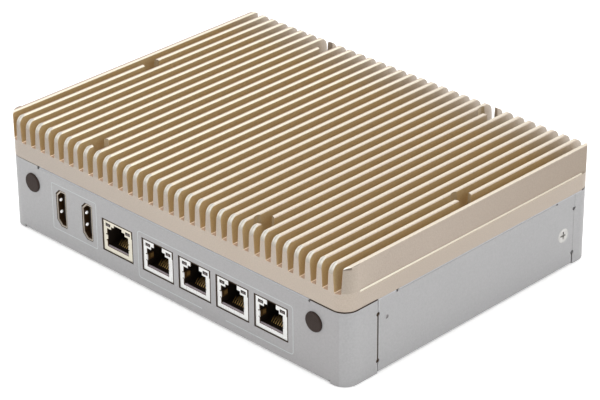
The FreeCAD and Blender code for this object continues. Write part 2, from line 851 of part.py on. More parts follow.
# ---------------------------------------------------------------- board and what it carries
def main_board():
    body = plan_block(board_half, rear - sheet - board_end_gap,
                      corner_radius - sheet - board_end_gap, board_bottom, board_top)
    hole = screw_diameter + 2 * hole_clearance
    return body.cut([upright(hole, x, y, board_bottom, board_top) for x, y in standoff_places])


def board_screw(x, y):
    return pan_screw(V(x, y, board_top), V(0, 0, 1), board_head_diameter, board_head_height,
                     board_screw_length)


def centred_block(x, y, width, depth, z0, z1):
    return block(x - width / 2, y - depth / 2, z0, x + width / 2, y + depth / 2, z1)


def processor():
    carrier_top = board_top + package_thickness
    carrier = centred_block(processor_x, module_y, package_size, package_size,
                            board_top, carrier_top)
    spreader = centred_block(processor_x, module_y, spreader_size, spreader_size,
                             carrier_top, spreader_top)
    uprights = [e for e in spreader.Edges if abs(e.tangentAt(e.FirstParameter).z) > 0.9]
    return carrier.fuse(spreader.makeFillet(spreader_corner, uprights))


def thermal_pad():
    size = spreader_size - 2 * pad_inset
    return centred_block(processor_x, module_y, size, size, spreader_top, block_low)


def heat_block():
    body = centred_block(processor_x, module_y, block_size, block_size, block_low, recess_ceiling)
    hole = screw_diameter + 2 * hole_clearance
    head = lid_head_diameter + 4 * hole_clearance
    cutters = []
    for x, y in block_screw_places:
        cutters.append(upright(hole, x, y, block_low, recess_ceiling))
        cutters.append(upright(head, x, y, block_low, block_low + block_head_sink))
    return body.cut(cutters)


def block_screws():
    seat = block_low + block_head_sink
    length = recess_ceiling + block_screw_grip - seat
    return Part.makeCompound([
        pan_screw(V(x, y, seat), V(0, 0, -1), lid_head_diameter, lid_head_height, length)
        for x, y in block_screw_places
    ])


def memory_socket():
    x0 = memory_socket_left
    half = memory_length / 2
    top = board_top + memory_socket_height
    bar = block(x0, module_y - half - memory_arm, board_top,
                x0 + memory_socket_depth, module_y + half + memory_arm, top)
    shapes = [bar]
    for sy in (-1, 1):
        y0, y1 = sorted((module_y + sy * (half + fit_gap), module_y + sy * (half + memory_arm)))
        shapes.append(block(x0, y0, board_top, memory_x + memory_width / 2 - memory_grip, y1, top))
    slot = block(memory_x - memory_width / 2 - fit_gap, module_y - half - fit_gap,
                 board_top + memory_rise, memory_x, module_y + half + fit_gap,
                 board_top + memory_rise + memory_thickness)
    return fused(shapes).cut(slot)


def memory_module():
    low = board_top + memory_rise
    top = low + memory_thickness
    card = centred_block(memory_x, module_y, memory_width, memory_length, low, top)
    chips = []
    for k in range(memory_chips):
        y = module_y + (k - (memory_chips - 1) / 2) * memory_length / memory_chips
        chips.append(centred_block(memory_x + memory_grip, y, memory_chip_width,
                                   memory_chip_length, top, top + chip_height))
    return fused([card] + chips)


def storage_socket():
    y1 = storage_front + storage_grip
    top = board_top + storage_socket_height
    body = block(storage_x - storage_width / 2, storage_front - storage_reach, board_top,
                 storage_x + storage_width / 2, y1, top)
    slot = block(storage_x - storage_width / 2, storage_front - fit_gap, board_top + storage_rise,
                 storage_x + storage_width / 2, y1, board_top + storage_rise + storage_thickness)
    return body.cut(slot)


def storage_module():
    low = board_top + storage_rise
    top = low + storage_thickness
    half = storage_width / 2
    card = block(storage_x - half, storage_front, low, storage_x + half, storage_end, top)
    notch = upright(screw_diameter + 2 * hole_clearance, storage_x, storage_end, low, top)
    chips = []
    for k in range(storage_chips):
        y = storage_front + storage_length * (k + 1) / (storage_chips + 1)
        chips.append(centred_block(storage_x, y, storage_chip_size, storage_chip_size,
                                   top, top + chip_height))
    return fused([card] + chips).cut(notch)


def storage_post():
    low = board_top + storage_rise
    post = upright(storage_post_diameter, storage_x, storage_end, board_top, low)
    bore = upright(screw_diameter + 2 * thread_gap, storage_x, storage_end, board_top, low)
    return post.cut(bore)


def storage_screw():
    seat = board_top + storage_rise + storage_thickness
    return pan_screw(V(storage_x, storage_end, seat), V(0, 0, 1),
                     storage_post_diameter, storage_head_height, storage_rise)


def cell_holder():
    inner = cell_diameter + 2 * fit_gap
    top = board_top + holder_floor + cell_thickness - cell_stand_out
    cup = upright(holder_diameter, cell_x, module_y, board_top, top)
    well = upright(inner, cell_x, module_y, board_top + holder_floor, top)
    gate = centred_block(cell_x, module_y - holder_diameter / 2, holder_gate, holder_gate,
                         board_top + holder_floor, top)
    return cup.cut([well, gate])


def coin_cell():
    low = board_top + holder_floor
    radius = cell_diameter / 2
    return turned([
        (0, 0),
        (radius - cell_step - cell_edge_break, 0),
        (radius - cell_step, cell_edge_break),
        (radius - cell_step, cell_step_rise),
        (radius, cell_step_rise),
        (radius, cell_thickness - cell_edge_break),
        (radius - cell_edge_break, cell_thickness),
        (0, cell_thickness),
    ], V(cell_x, module_y, low), V(0, 0, 1))


# ---------------------------------------------------------------- rear sockets
def usb_openings(x, y0, y1, gap):
    """The two openings of a double socket, wider by the gap."""
    half_w = usb_width / 2 - usb_wall + gap
    low = board_top + usb_wall * 2
    high = board_top + usb_height - usb_wall
    middle = (low + high) / 2
    half_bar = usb_bar / 2
    return [
        block(x - half_w, y0, low - gap, x + half_w, y1, middle - half_bar + gap),
        block(x - half_w, y0, middle + half_bar - gap, x + half_w, y1, high + gap),
    ]


def usb_shell(x):
    half = usb_width / 2
    y1 = rear - usb_recess
    y0 = y1 - usb_depth
    body = block(x - half, y0, board_top, x + half, y1, board_top + usb_height)
    return body.cut(usb_openings(x, y0, y1, 0))


def usb_insert(x):
    """Plastic core that plugs the rear of both openings and carries a blade in each."""
    y1 = rear - usb_recess
    y0 = y1 - usb_depth
    shapes = []
    for core in usb_openings(x, y0, y0 + usb_base, -fit_gap):
        middle = (core.BoundBox.ZMin + core.BoundBox.ZMax) / 2 + blade_thickness / 4
        blade = block(x - blade_width / 2, y0, middle - blade_thickness / 2,
                      x + blade_width / 2, y1 - blade_recess, middle + blade_thickness / 2)
        shapes.append(core.fuse(blade).removeSplitter())
    return Part.makeCompound(shapes)


def power_inlet():
    y1 = rear - sheet - fit_gap
    z = board_top + inlet_level
    half = inlet_width / 2
    body = block(inlet_x - half, y1 - inlet_depth, board_top, inlet_x + half, y1,
                 board_top + inlet_height)
    bore = rod(inlet_bore, V(inlet_x, y1 - inlet_bore_depth, z), V(inlet_x, y1, z))
    seat = rod(inlet_pin, V(inlet_x, y1 - inlet_depth, z), V(inlet_x, y1, z))
    return body.cut([bore, seat])


def power_pin():
    y1 = rear - sheet - fit_gap
    z = board_top + inlet_level
    pin = rod(inlet_pin, V(inlet_x, y1 - inlet_depth, z), V(inlet_x, y1 - inlet_pin_recess, z))
    tip = [e for e in pin.Edges if e.CenterOfMass.y > y1 - inlet_pin_recess - 0.01
           and e.isClosed()]
    return pin.makeFillet(inlet_pin_round, tip)


# ---------------------------------------------------------------- all pieces
def pieces():
    parts = {
        "heatsink_lid": heatsink_lid(),
        "chassis_tray": chassis_tray(),
        "rear_panel": rear_panel(),
        "main_board": main_board(),
        "processor": processor(),
        "thermal_pad": thermal_pad(),
        "heat_block": heat_block(),
        "block_screws": block_screws(),
        "memory_socket": memory_socket(),
        "memory_module": memory_module(),
        "storage_socket": storage_socket(),
        "storage_module": storage_module(),
        "storage_post": storage_post(),
        "storage_screw": storage_screw(),
        "cell_holder": cell_holder(),
        "coin_cell": coin_cell(),
        "power_inlet": power_inlet(),
        "power_pin": power_pin(),
    }
    for number, (x, y) in enumerate(lid_screw_places, 1):
        parts[f"lid_screw_{number}"] = lid_screw(x, y)
    for number, (x, y) in enumerate(standoff_places, 1):
        parts[f"board_screw_{number}"] = board_screw(x, y)
    for name, sx in (("left", -1), ("right", 1)):
        parts[f"side_screw_{name}"] = side_screw(sx)
        parts[f"hole_plug_{name}"] = hole_plug(plug_places[name])
    for number, x in enumerate(jack_places):
        open_top = number > 0
        parts[f"jack_shield_{number}"] = jack_shield(x, open_top)
        parts[f"jack_insert_{number}"] = jack_insert(x, open_top)
        parts[f"jack_wires_{number}"] = jack_wires(x)
        parts[f"jack_lights_{number}"] = jack_lights(x)
    for number, x in enumerate(video_places, 1):
        parts[f"video_shell_{number}"] = video_shell(x)
        parts[f"video_tongue_{number}"] = video_tongue(x)
    for number, x in enumerate(usb_places, 1):
        parts[f"usb_shell_{number}"] = usb_shell(x)
        parts[f"usb_insert_{number}"] = usb_insert(x)
    return parts


os.makedirs("parts", exist_ok=True)
for node, shape in pieces().items():
    if not shape.isValid():
        print("not valid:", node)
    shape.exportStep(os.path.join("parts", node + ".step"))
    print(f"{node:18s} solids {len(shape.Solids):2d}  volume {shape.Volume:10.1f}")
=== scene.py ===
"""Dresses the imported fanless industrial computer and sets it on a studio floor."""
import logging
import math
from dataclasses import dataclass, field
from enum import Enum

import bpy
import numpy as np
from mathutils import Matrix, Vector


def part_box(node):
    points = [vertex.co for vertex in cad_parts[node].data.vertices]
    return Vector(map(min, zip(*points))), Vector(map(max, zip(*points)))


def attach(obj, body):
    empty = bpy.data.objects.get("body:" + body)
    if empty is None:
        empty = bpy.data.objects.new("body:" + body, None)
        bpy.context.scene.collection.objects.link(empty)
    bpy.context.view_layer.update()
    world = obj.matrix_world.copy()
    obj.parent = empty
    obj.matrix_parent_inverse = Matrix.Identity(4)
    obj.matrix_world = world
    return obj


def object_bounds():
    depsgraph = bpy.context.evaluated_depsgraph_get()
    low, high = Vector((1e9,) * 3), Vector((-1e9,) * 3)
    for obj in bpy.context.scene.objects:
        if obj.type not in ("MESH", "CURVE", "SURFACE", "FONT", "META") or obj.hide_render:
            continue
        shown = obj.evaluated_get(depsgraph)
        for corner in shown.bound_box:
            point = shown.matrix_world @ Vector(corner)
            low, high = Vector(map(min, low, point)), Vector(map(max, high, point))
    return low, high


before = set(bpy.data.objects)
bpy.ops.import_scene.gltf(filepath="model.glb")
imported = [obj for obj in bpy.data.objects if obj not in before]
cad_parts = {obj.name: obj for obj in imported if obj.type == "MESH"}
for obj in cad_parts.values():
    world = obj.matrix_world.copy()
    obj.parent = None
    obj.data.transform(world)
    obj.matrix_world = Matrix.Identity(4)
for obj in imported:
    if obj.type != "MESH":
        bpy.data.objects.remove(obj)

CAD_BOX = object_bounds()
MM = 0.001
LOG = logging.getLogger("fanless_computer")

# ---------------- fixed values, lengths in millimetres
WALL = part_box("chassis_tray")[0].y / MM
LID_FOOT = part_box("heatsink_lid")[0].z / MM
SIDE, REAR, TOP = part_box("heatsink_lid")[1] / MM
CORNER_RADIUS = 6.0
LEDGE_LEVEL = LID_FOOT + 6.5
SLOT_LEVEL = LID_FOOT + 6.9
FIN_PITCH = 5.41
RAW_EDGE = LID_FOOT - 0.4
FRONT_SEAM = WALL + 16.0
FOLD_END = SIDE - 17.0
RELIEF_LOW = 4.9
RELIEF_HIGH = 23.1

SIDES = ((-1.0, "left"), (1.0, "right"))
NOISE_LOW, NOISE_HIGH = 0.3, 0.7
BOX_CORNERS = np.array([(-1, -1), (1, -1), (1, 1), (-1, 1)], float)
BOX_FACES = np.array([(0, 1, 2, 3), (7, 6, 5, 4), (0, 4, 5, 1), (1, 5, 6, 2), (2, 6, 7, 3),
                      (3, 7, 4, 0)])
DOME_RINGS = 8

Colour = tuple[float, float, float]
Socket = bpy.types.NodeSocket
Value = Socket | float | tuple
Rows = tuple[tuple[float, ...], ...]


class Slot(Enum):
    """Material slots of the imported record."""

    LID = "lid_metal"
    CHASSIS = "chassis_sheet"
    LAMINATE = "board_laminate"
    CHIP = "chip_metal"
    PAD = "pad_rubber"
    ALUMINIUM = "bare_aluminium"
    STEEL = "screw_steel"
    PLASTIC = "black_plastic"
    RUBBER = "plug_rubber"
    CREAM = "shield_cream"
    BRIGHT = "shield_bright"
    GOLD = "contact_gold"
    WINDOW = "light_window"


class Axis(Enum):
    """Quantities that place a tone on a surface: millimetres, facing from -1 to 1, and the
    share of the way across a fin and the slot beside it."""

    X = "x"
    Y = "y"
    Z = "z"
    FACING_X = "facing_x"
    FACING_Y = "facing_y"
    FACING_Z = "facing_z"
    ASIDE = "distance_from_the_middle_plane"
    FACING_ASIDE = "facing_either_side"
    ACROSS_FIN = "across_fin"


class Grain(Enum):
    """Ways in which a finish's fine relief runs."""

    EVEN = (1.0, 1.0, 1.0)
    ALONG_X = (0.05, 1.0, 1.0)
    ALONG_Y = (1.0, 0.05, 1.0)
    ALONG_Z = (1.0, 1.0, 0.05)


# ---------------- material graphs
@dataclass(frozen=True)
class Span:
    """Range of one quantity."""

    axis: Axis
    low: float
    high: float


def within(**ranges: tuple[float, float]) -> tuple[Span, ...]:
    """Spans by the names of their quantities.

    Args:
        **ranges: lower and upper end of each quantity.

    Returns:
        The spans.
    """
    return tuple(Span(Axis[key.upper()], *ends) for key, ends in ranges.items())


@dataclass(frozen=True)
class Zone:
    """Part of a surface that gets a tone of its own, where every span holds; the zones in this
    script hold painted light and shade.
    """

    colour: Colour
    spans: tuple[Span, ...]
    fade: Span | None = None


class Graph:
    """A material's node tree with the few node kinds that the finishes share."""

    def __init__(self, name: str) -> None:
        """Opens a material with one Principled shader.

        Args:
            name: the material's name.
        """
        self.material = bpy.data.materials.new(name)
        self.material.use_nodes = True
        self.tree = self.material.node_tree
        self.shader = self.tree.nodes["Principled BSDF"]
        self.place = self.add("ShaderNodeTexCoord").outputs["Object"]
        self.known: dict[Axis, Socket] = {}

    def feed(self, node: bpy.types.Node, inputs: dict[str | int, Value]) -> None:
        """Links sockets to a node's inputs and sets the other values as constants.

        Args:
            node: the node.
            inputs: what each input gets, by its name or number.
        """
        for key, value in inputs.items():
            if isinstance(value, Socket):
                self.tree.links.new(value, node.inputs[key])
            else:
                node.inputs[key].default_value = value

    def add(self, kind: str, inputs: dict[str | int, Value] | None = None,
            **settings: str) -> bpy.types.Node:
        """Adds a node.

        Args:
            kind: Blender's name of the node type.
            inputs: what each input gets, by its name or number.
            **settings: properties set on the node.

        Returns:
            The new node.
        """
        node = self.tree.nodes.new(kind)
        for key, value in settings.items():
            setattr(node, key, value)
        self.feed(node, inputs or {})
        return node

    def work(self, operation: str, *values: Value) -> Socket:
        """Adds a Math node.

        Args:
            operation: its operation.
            *values: its inputs, sockets or numbers.

        Returns:
            The result.
        """
        inputs = dict(enumerate(values))
        return self.add("ShaderNodeMath", inputs, operation=operation).outputs["Value"]

    def axis(self, axis: Axis) -> Socket:
        """A quantity at the shaded point, worked out once a material.

        Args:
            axis: the quantity.

        Returns:
            Its value.
        """
        if not self.known:
            scaled = self.add("ShaderNodeVectorMath", {"Scale": 1.0 / MM, "Vector": self.place},
                              operation="SCALE").outputs["Vector"]
            facing = self.add("ShaderNodeNewGeometry").outputs["True Normal"]
            names = ((Axis.X, Axis.Y, Axis.Z), (Axis.FACING_X, Axis.FACING_Y, Axis.FACING_Z))
            for source, trio in zip((scaled, facing), names):
                parts = self.add("ShaderNodeSeparateXYZ", {"Vector": source})
                self.known.update(zip(trio, parts.outputs))
        if axis not in self.known:
            if axis is Axis.ACROSS_FIN:
                turns = self.work("MULTIPLY_ADD", self.known[Axis.X], 1.0 / FIN_PITCH, 0.5)
                self.known[axis] = self.work("FRACT", turns)
            else:
                whole = Axis.X if axis is Axis.ASIDE else Axis.FACING_X
                self.known[axis] = self.work("ABSOLUTE", self.known[whole])
        return self.known[axis]

    def zoned(self, tone: Socket, zones: tuple[Zone, ...]) -> Socket:
        """Lays zones over a tone, each over those before it.

        Args:
            tone: the colour below.
            zones: the zones.

        Returns:
            The colour.
        """
        for zone in zones:
            shares = [self.work("COMPARE", self.axis(span.axis), (span.low + span.high) / 2,
                                (span.high - span.low) / 2) for span in zone.spans]
            if zone.fade:
                shares.append(self.ranged(self.axis(zone.fade.axis), 0.0, 1.0, zone.fade.low,
                                          zone.fade.high))
            share = shares[0]
            for other in shares[1:]:
                share = self.work("MULTIPLY", share, other)
            tone = self.mixed(share, tone, (*zone.colour, 1.0))
        return tone

    def mixed(self, share: Value, below: Value, above: Value, blend_type: str = "MIX") -> Socket:
        """Lays one colour over another.

        Args:
            share: how much of the upper colour shows, 0 to 1.
            below: the lower colour.
            above: the upper colour.
            blend_type: Blender's name of the way in which they mix.

        Returns:
            The colour.
        """
        return self.add("ShaderNodeMix", {"Factor": share, "A": below, "B": above},
                        data_type="RGBA", blend_type=blend_type).outputs["Result"]

    def noise(self, size: float, detail: float, where: Socket) -> Socket:
        """Cloudy value from 0 to 1.

        Args:
            size: size of a cloud in metres.
            detail: octaves.
            where: coordinates that the clouds follow.

        Returns:
            The value.
        """
        inputs = {"Scale": 1.0 / size, "Detail": detail, "Vector": where}
        return self.add("ShaderNodeTexNoise", inputs).outputs["Fac"]

    def ranged(self, value: Socket, low: float, high: float, start: float = NOISE_LOW,
               end: float = NOISE_HIGH) -> Socket:
        """Maps a value from start..end to low..high, held at both ends.

        Args:
            value: the value.
            low: result at start.
            high: result at end.
            start: lower end of the source range.
            end: upper end of the source range.

        Returns:
            The mapped value.
        """
        inputs = {"Value": value, "From Min": start, "From Max": end, "To Min": low,
                  "To Max": high}
        return self.add("ShaderNodeMapRange", inputs).outputs["Result"]

    def blend(self, value: Socket, first: Colour, second: Colour) -> Socket:
        """Colour that passes from first to second over the range of a noise.

        Args:
            value: the noise.
            first: linear colour at the range's lower end.
            second: linear colour at its upper end.

        Returns:
            The colour.
        """
        ramp = self.add("ShaderNodeValToRGB", {"Fac": value})
        ends = ramp.color_ramp.elements
        ends[0].position, ends[0].color = NOISE_LOW, (*first, 1.0)
        ends[1].position, ends[1].color = NOISE_HIGH, (*second, 1.0)
        return ramp.outputs["Color"]

    def bump(self, height: Socket, depth: float, strength: float) -> None:
        """Raises the shader's normal by a height map.

        Args:
            height: value from 0 to 1.
            depth: relief in metres.
            strength: share of the relief that shows.
        """
        node = self.add("ShaderNodeBump", {"Strength": strength, "Distance": depth,
                                           "Height": height})
        self.feed(self.shader, {"Normal": node.outputs["Normal"]})


@dataclass(frozen=True)
class Finish:
    """A surface finish: two tones in soft clouds, a fine relief, a varied roughness, and zones of
    painted light and shade.
    """

    name: str
    slot: Slot
    light: Colour
    dark: Colour
    metallic: float = 0.0
    rough_low: float = 0.4
    rough_high: float = 0.5
    cloud: float = 0.003
    relief: float = 0.0003
    depth: float = 0.00001
    strength: float = 0.3
    grain: Grain = Grain.EVEN
    coat: float = 0.0
    coat_roughness: float = 0.2
    specular: float = 0.5
    # glow is emission in the light tone; only the dimples use it, as a painted glint.
    glow: float = 0.0
    zones: tuple[Zone, ...] = ()

    def material(self) -> bpy.types.Material:
        """The finish's material, built once.

        Returns:
            The material.
        """
        known = bpy.data.materials.get(self.name)
        if known:
            return known
        graph = Graph(self.name)
        graph.feed(graph.shader, {
            "Metallic": self.metallic, "Coat Weight": self.coat,
            "Coat Roughness": self.coat_roughness, "Specular IOR Level": self.specular,
            "Emission Color": (*self.light, 1.0), "Emission Strength": self.glow})
        self.paint(graph)
        return graph.material

    def paint(self, graph: Graph) -> None:
        """Links tone, roughness and relief into the shader.

        Args:
            graph: the material's graph.
        """
        clouds = graph.noise(self.cloud, 4.0, graph.place)
        stretched = graph.add("ShaderNodeMapping", {"Scale": self.grain.value,
                                                    "Vector": graph.place})
        fine = graph.noise(self.relief, 2.0, stretched.outputs["Vector"])
        graph.feed(graph.shader, {
            "Base Color": graph.zoned(graph.blend(clouds, self.dark, self.light), self.zones),
            "Roughness": graph.ranged(fine, self.rough_low, self.rough_high)})
        graph.bump(fine, self.depth, self.strength)


@dataclass(frozen=True)
class SpeckledFinish(Finish):
    """Finish whose fine relief also lightens and darkens its tone, as powder coat does."""

    speck: float = 0.0006
    contrast: float = 0.06

    def paint(self, graph: Graph) -> None:
        """Mixes specks into the clouds, and raises the surface between scattered points.

        Args:
            graph: the material's graph.
        """
        clouds = graph.noise(self.cloud, 4.0, graph.place)
        specks = graph.noise(self.speck, 3.0, graph.place)
        tone = graph.zoned(graph.blend(clouds, self.dark, self.light), self.zones)
        grey = graph.blend(specks, (0.0, 0.0, 0.0), (1.0, 1.0, 1.0))
        graph.feed(graph.shader, {
            "Base Color": graph.mixed(self.contrast, tone, grey, "OVERLAY"),
            "Roughness": graph.ranged(specks, self.rough_low, self.rough_high)})
        pits = graph.add("ShaderNodeTexVoronoi", {"Scale": 1.0 / self.relief,
                                                  "Vector": graph.place})
        graph.bump(pits.outputs["Distance"], self.depth, self.strength)


# ---------------- places on the surfaces, where the finishes paint light and shade
FRONTWARD = within(facing_y=(-1.01, -0.9))
SIDEWARD = within(facing_aside=(0.9, 1.01))
ALONG_SIDE = within(facing_y=(-0.05, 0.05))
INNER_FINS = within(aside=(0.0, SIDE - 1.0))
AT_RIGHT = within(x=(SIDE - 0.8, SIDE + 0.1))
RIGHT_SHEET = within(x=(SIDE - 0.1, SIDE + 0.1))

FIN_FRONT = FRONTWARD + within(z=(SLOT_LEVEL + 0.6, TOP - 0.75), y=(WALL - 0.1, WALL + 1.0))
RIGHT_FACE = AT_RIGHT + within(facing_x=(0.9, 1.01))
RIGHT_FIN = AT_RIGHT + within(z=(SLOT_LEVEL - 0.1, TOP - 0.25))
FIN_TIP = within(z=(TOP - 0.15, TOP + 0.15), facing_z=(0.97, 1.01))
TIP_EDGE = INNER_FINS + ALONG_SIDE + within(z=(TOP - 0.4, TOP + 0.01), facing_x=(0.2, 0.95))
SLOT_WALL = INNER_FINS + SIDEWARD + within(z=(SLOT_LEVEL + 0.4, TOP - 0.31),
                                           facing_y=(-0.02, 0.02))
POCKET_WALL = INNER_FINS + within(z=(SLOT_LEVEL + 0.1, TOP - 0.31), y=(WALL + 4.0, REAR - 4.0),
                                  facing_z=(-0.5, 0.5))
SLOT_FLOOR = within(z=(SLOT_LEVEL - 0.1, SLOT_LEVEL + 0.1), facing_z=(0.9, 1.01))
SLOT_FILLET = ALONG_SIDE + within(z=(SLOT_LEVEL + 0.02, SLOT_LEVEL + 0.45),
                                  facing_x=(0.1, 0.98))
FIN_ARC = within(z=(TOP - 3.45, TOP + 0.01), y=(WALL - 0.1, WALL + 3.4),
                 facing_z=(0.03, 0.998), facing_y=(-1.01, -0.03))
ARC_CREASE = FIN_ARC + within(across_fin=(0.42, 0.50))
CORNER_ARC = FIN_ARC + within(aside=(SIDE - 4.0, SIDE + 0.1))
CORNER = within(x=(SIDE - 3.4, SIDE + 0.1), y=(WALL - 0.1, WALL + 7.0), facing_z=(-0.1, 0.5))
CORNER_SIDE = CORNER + within(z=(SLOT_LEVEL + 0.4, TOP - 0.25))
CORNER_SHADE = CORNER + within(z=(TOP - 1.25, TOP - 0.15), y=(WALL - 0.1, WALL + 3.6))
LEDGE_SHADE = SIDEWARD + within(aside=(SIDE - 0.8, SIDE - 0.5),
                                z=(SLOT_LEVEL, SLOT_LEVEL + 0.22))
OUTER_TIP = within(z=(TOP - 0.45, TOP + 0.15), aside=(SIDE - 0.64, SIDE + 0.1),
                   facing_z=(0.3, 1.01))
LID_EDGE = within(z=(LID_FOOT - 0.05, LID_FOOT + 0.35), facing_z=(-0.9, -0.3))
FRONT_JOINT = within(z=(LID_FOOT - 0.1, LID_FOOT + 0.12), y=(WALL - 0.1, WALL + 6.0),
                     x=(-FOLD_END - 0.2, FOLD_END - 0.2))
FOLD = within(z=(RAW_EDGE - 0.15, LID_FOOT - 0.08))
FRONT_FOLD_HIGHLIGHT = FOLD + within(facing_y=(-1.01, -0.3), x=(-FOLD_END, FOLD_END - 0.2))
SIDE_FOLD_HIGHLIGHT = FOLD + RIGHT_SHEET + within(y=(FRONT_SEAM + 0.4, REAR - 2.0))
SEAM_EDGE_HIGHLIGHT = RIGHT_SHEET + within(y=(FRONT_SEAM + 0.28, FRONT_SEAM + 0.7),
                                 z=(RELIEF_LOW + 0.3, RAW_EDGE - 0.1))
WELD_DIMPLE_SHADE = within(x=(SIDE - 1.0, SIDE - 0.03), y=(FRONT_SEAM + 4.4, FRONT_SEAM + 6.0),
                   z=(19.0, 22.5))
JACK_SPRING = within(y=(WALL + 1.7, WALL + 3.7), z=(12.9, 14.5))

# ---------------- finishes
# Lid finish: champagne anodised tone; all its zones are painted light and shade.
CHAMPAGNE = SpeckledFinish(
    "champagne_anodised", Slot.LID, light=(0.47, 0.398, 0.33), dark=(0.452, 0.38, 0.312),
    metallic=0.35, rough_low=0.36, rough_high=0.48, cloud=0.03, relief=0.00035,
    depth=0.000012, strength=0.25, speck=0.0005, contrast=0.08,
    zones=(
        # painted shade: front faces and fin fronts darker towards the left, right faces and the
        # outer fin darker towards the back
        Zone((0.41, 0.355, 0.305), FRONTWARD, fade=Span(Axis.X, 20.0, -80.0)),
        Zone((0.36, 0.305, 0.25), FIN_FRONT, fade=Span(Axis.X, 80.0, -80.0)),
        Zone((0.44, 0.37, 0.305), RIGHT_FACE, fade=Span(Axis.Y, -66.0, -40.0)),
        Zone((0.41, 0.34, 0.28), RIGHT_FIN, fade=Span(Axis.Y, -62.0, -45.0)),
        Zone((0.325, 0.26, 0.20), RIGHT_FIN, fade=Span(Axis.Y, -20.0, 70.0)),
        # painted reflection: warm brown on pocket walls, slot walls and slot floors, paler near
        # the rear ends where light gets in
        Zone((0.53, 0.42, 0.265), POCKET_WALL),
        Zone((0.60, 0.455, 0.25), SLOT_WALL),
        Zone((0.54, 0.47, 0.40), SLOT_WALL, fade=Span(Axis.Y, 44.0, 66.0)),
        Zone((0.50, 0.365, 0.28), SLOT_FLOOR),
        # painted highlight along the fillet at each slot's foot
        Zone((0.95, 0.80, 0.62), SLOT_FILLET),
        # painted highlight and shade across the fin tips and their edges: darker on one side,
        # pale cream on the other, duller and even towards the right
        Zone((0.38, 0.265, 0.21), FIN_TIP),
        Zone((0.82, 0.77, 0.63), FIN_TIP, fade=Span(Axis.ACROSS_FIN, 0.41, 0.56)),
        Zone((0.66, 0.585, 0.475), FIN_TIP, fade=Span(Axis.X, -10.0, 50.0)),
        Zone((0.82, 0.77, 0.63), TIP_EDGE),
        Zone((0.58, 0.49, 0.41), TIP_EDGE, fade=Span(Axis.X, -20.0, 40.0)),
        # painted highlight on the rounded fin fronts: brighter towards the top, a darker crease
        # down the middle, brightest at the corner
        Zone((0.40, 0.35, 0.29), FIN_ARC),
        Zone((0.57, 0.545, 0.485), FIN_ARC, fade=Span(Axis.Z, 43.6, 45.8)),
        Zone((0.43, 0.40, 0.35), ARC_CREASE),
        Zone((0.72, 0.69, 0.62), CORNER_ARC),
        # painted shade at the front right corner, a painted shadow under its arc, and a painted
        # shade line above the ledge
        Zone((0.375, 0.32, 0.262), CORNER_SIDE, fade=Span(Axis.Y, -59.5, -64.0)),
        Zone((0.15, 0.115, 0.09), CORNER_SHADE, fade=Span(Axis.Z, 45.6, 46.1)),
        Zone((0.30, 0.25, 0.20), LEDGE_SHADE),
        # painted shade on the outer fin's top; painted highlight on the lid's lower chamfer;
        # painted shade in the front joint under the lid
        Zone((0.30, 0.255, 0.21), OUTER_TIP),
        Zone((0.66, 0.56, 0.45), LID_EDGE),
        Zone((0.12, 0.10, 0.085), FRONT_JOINT),
    ))
# Chassis finish: powder coat grey; all its zones are painted light and shade.
POWDER_GREY = SpeckledFinish(
    "powder_coat_grey", Slot.CHASSIS, light=(0.42, 0.417, 0.42), dark=(0.408, 0.405, 0.409),
    metallic=0.1, rough_low=0.45, rough_high=0.58, cloud=0.04, relief=0.0006,
    depth=0.00002, strength=0.25, speck=0.0007, contrast=0.06,
    zones=(
        # painted shade: the front wall darker towards the right
        Zone((0.385, 0.375, 0.378), FRONTWARD, fade=Span(Axis.X, -80.0, 100.0)),
        # painted highlights along the front fold, the side fold and the seam's sheet edge
        Zone((0.58, 0.595, 0.64), FRONT_FOLD_HIGHLIGHT),
        Zone((0.50, 0.505, 0.53), SIDE_FOLD_HIGHLIGHT),
        Zone((0.54, 0.54, 0.55), SEAM_EDGE_HIGHLIGHT),
        # painted shade in the weld dimple's recess
        Zone((0.29, 0.275, 0.275), WELD_DIMPLE_SHADE),
    ))
# Painted shade: near-black finish for bands and boxes set into gaps, seams and notches, where
# there is only shade.
PAINTED_SHADE = Finish(
    "painted_shade", Slot.RUBBER, light=(0.060, 0.038, 0.025), dark=(0.048, 0.030, 0.019),
    rough_low=0.7, rough_high=0.85, specular=0.1)
# Painted shade and reflection: dark brown inside the jacks' mouths, a lighter gold-brown over the
# spring tabs.
JACK_INSIDE_SHADE = (
    Zone((0.12, 0.062, 0.022), within(y=(WALL + 0.4, -20.0))),
    Zone((0.34, 0.20, 0.065), JACK_SPRING),
)
PLATED_CREAM = Finish(
    "nickel_cream", Slot.CREAM, light=(0.74, 0.70, 0.585), dark=(0.69, 0.65, 0.54),
    metallic=0.4, rough_low=0.3, rough_high=0.42, cloud=0.004,
    depth=0.000006, grain=Grain.ALONG_Z, zones=JACK_INSIDE_SHADE)
PLATED_BRIGHT = Finish(
    "tin_bright", Slot.BRIGHT, light=(0.78, 0.78, 0.765), dark=(0.73, 0.73, 0.715),
    metallic=0.4, rough_low=0.26, rough_high=0.38, cloud=0.004,
    depth=0.000006, grain=Grain.ALONG_Z, zones=JACK_INSIDE_SHADE)
# Nickel for the video shells; its zone is painted shade, dark brown inside the shell behind its
# front.
PLATED_DIM = Finish(
    "nickel_dim", Slot.BRIGHT, light=(0.47, 0.41, 0.34), dark=(0.42, 0.365, 0.30),
    metallic=0.4, rough_low=0.3, rough_high=0.42, depth=0.000006, grain=Grain.ALONG_Z,
    zones=(Zone((0.075, 0.036, 0.014), within(y=(WALL + 0.5, REAR))),))
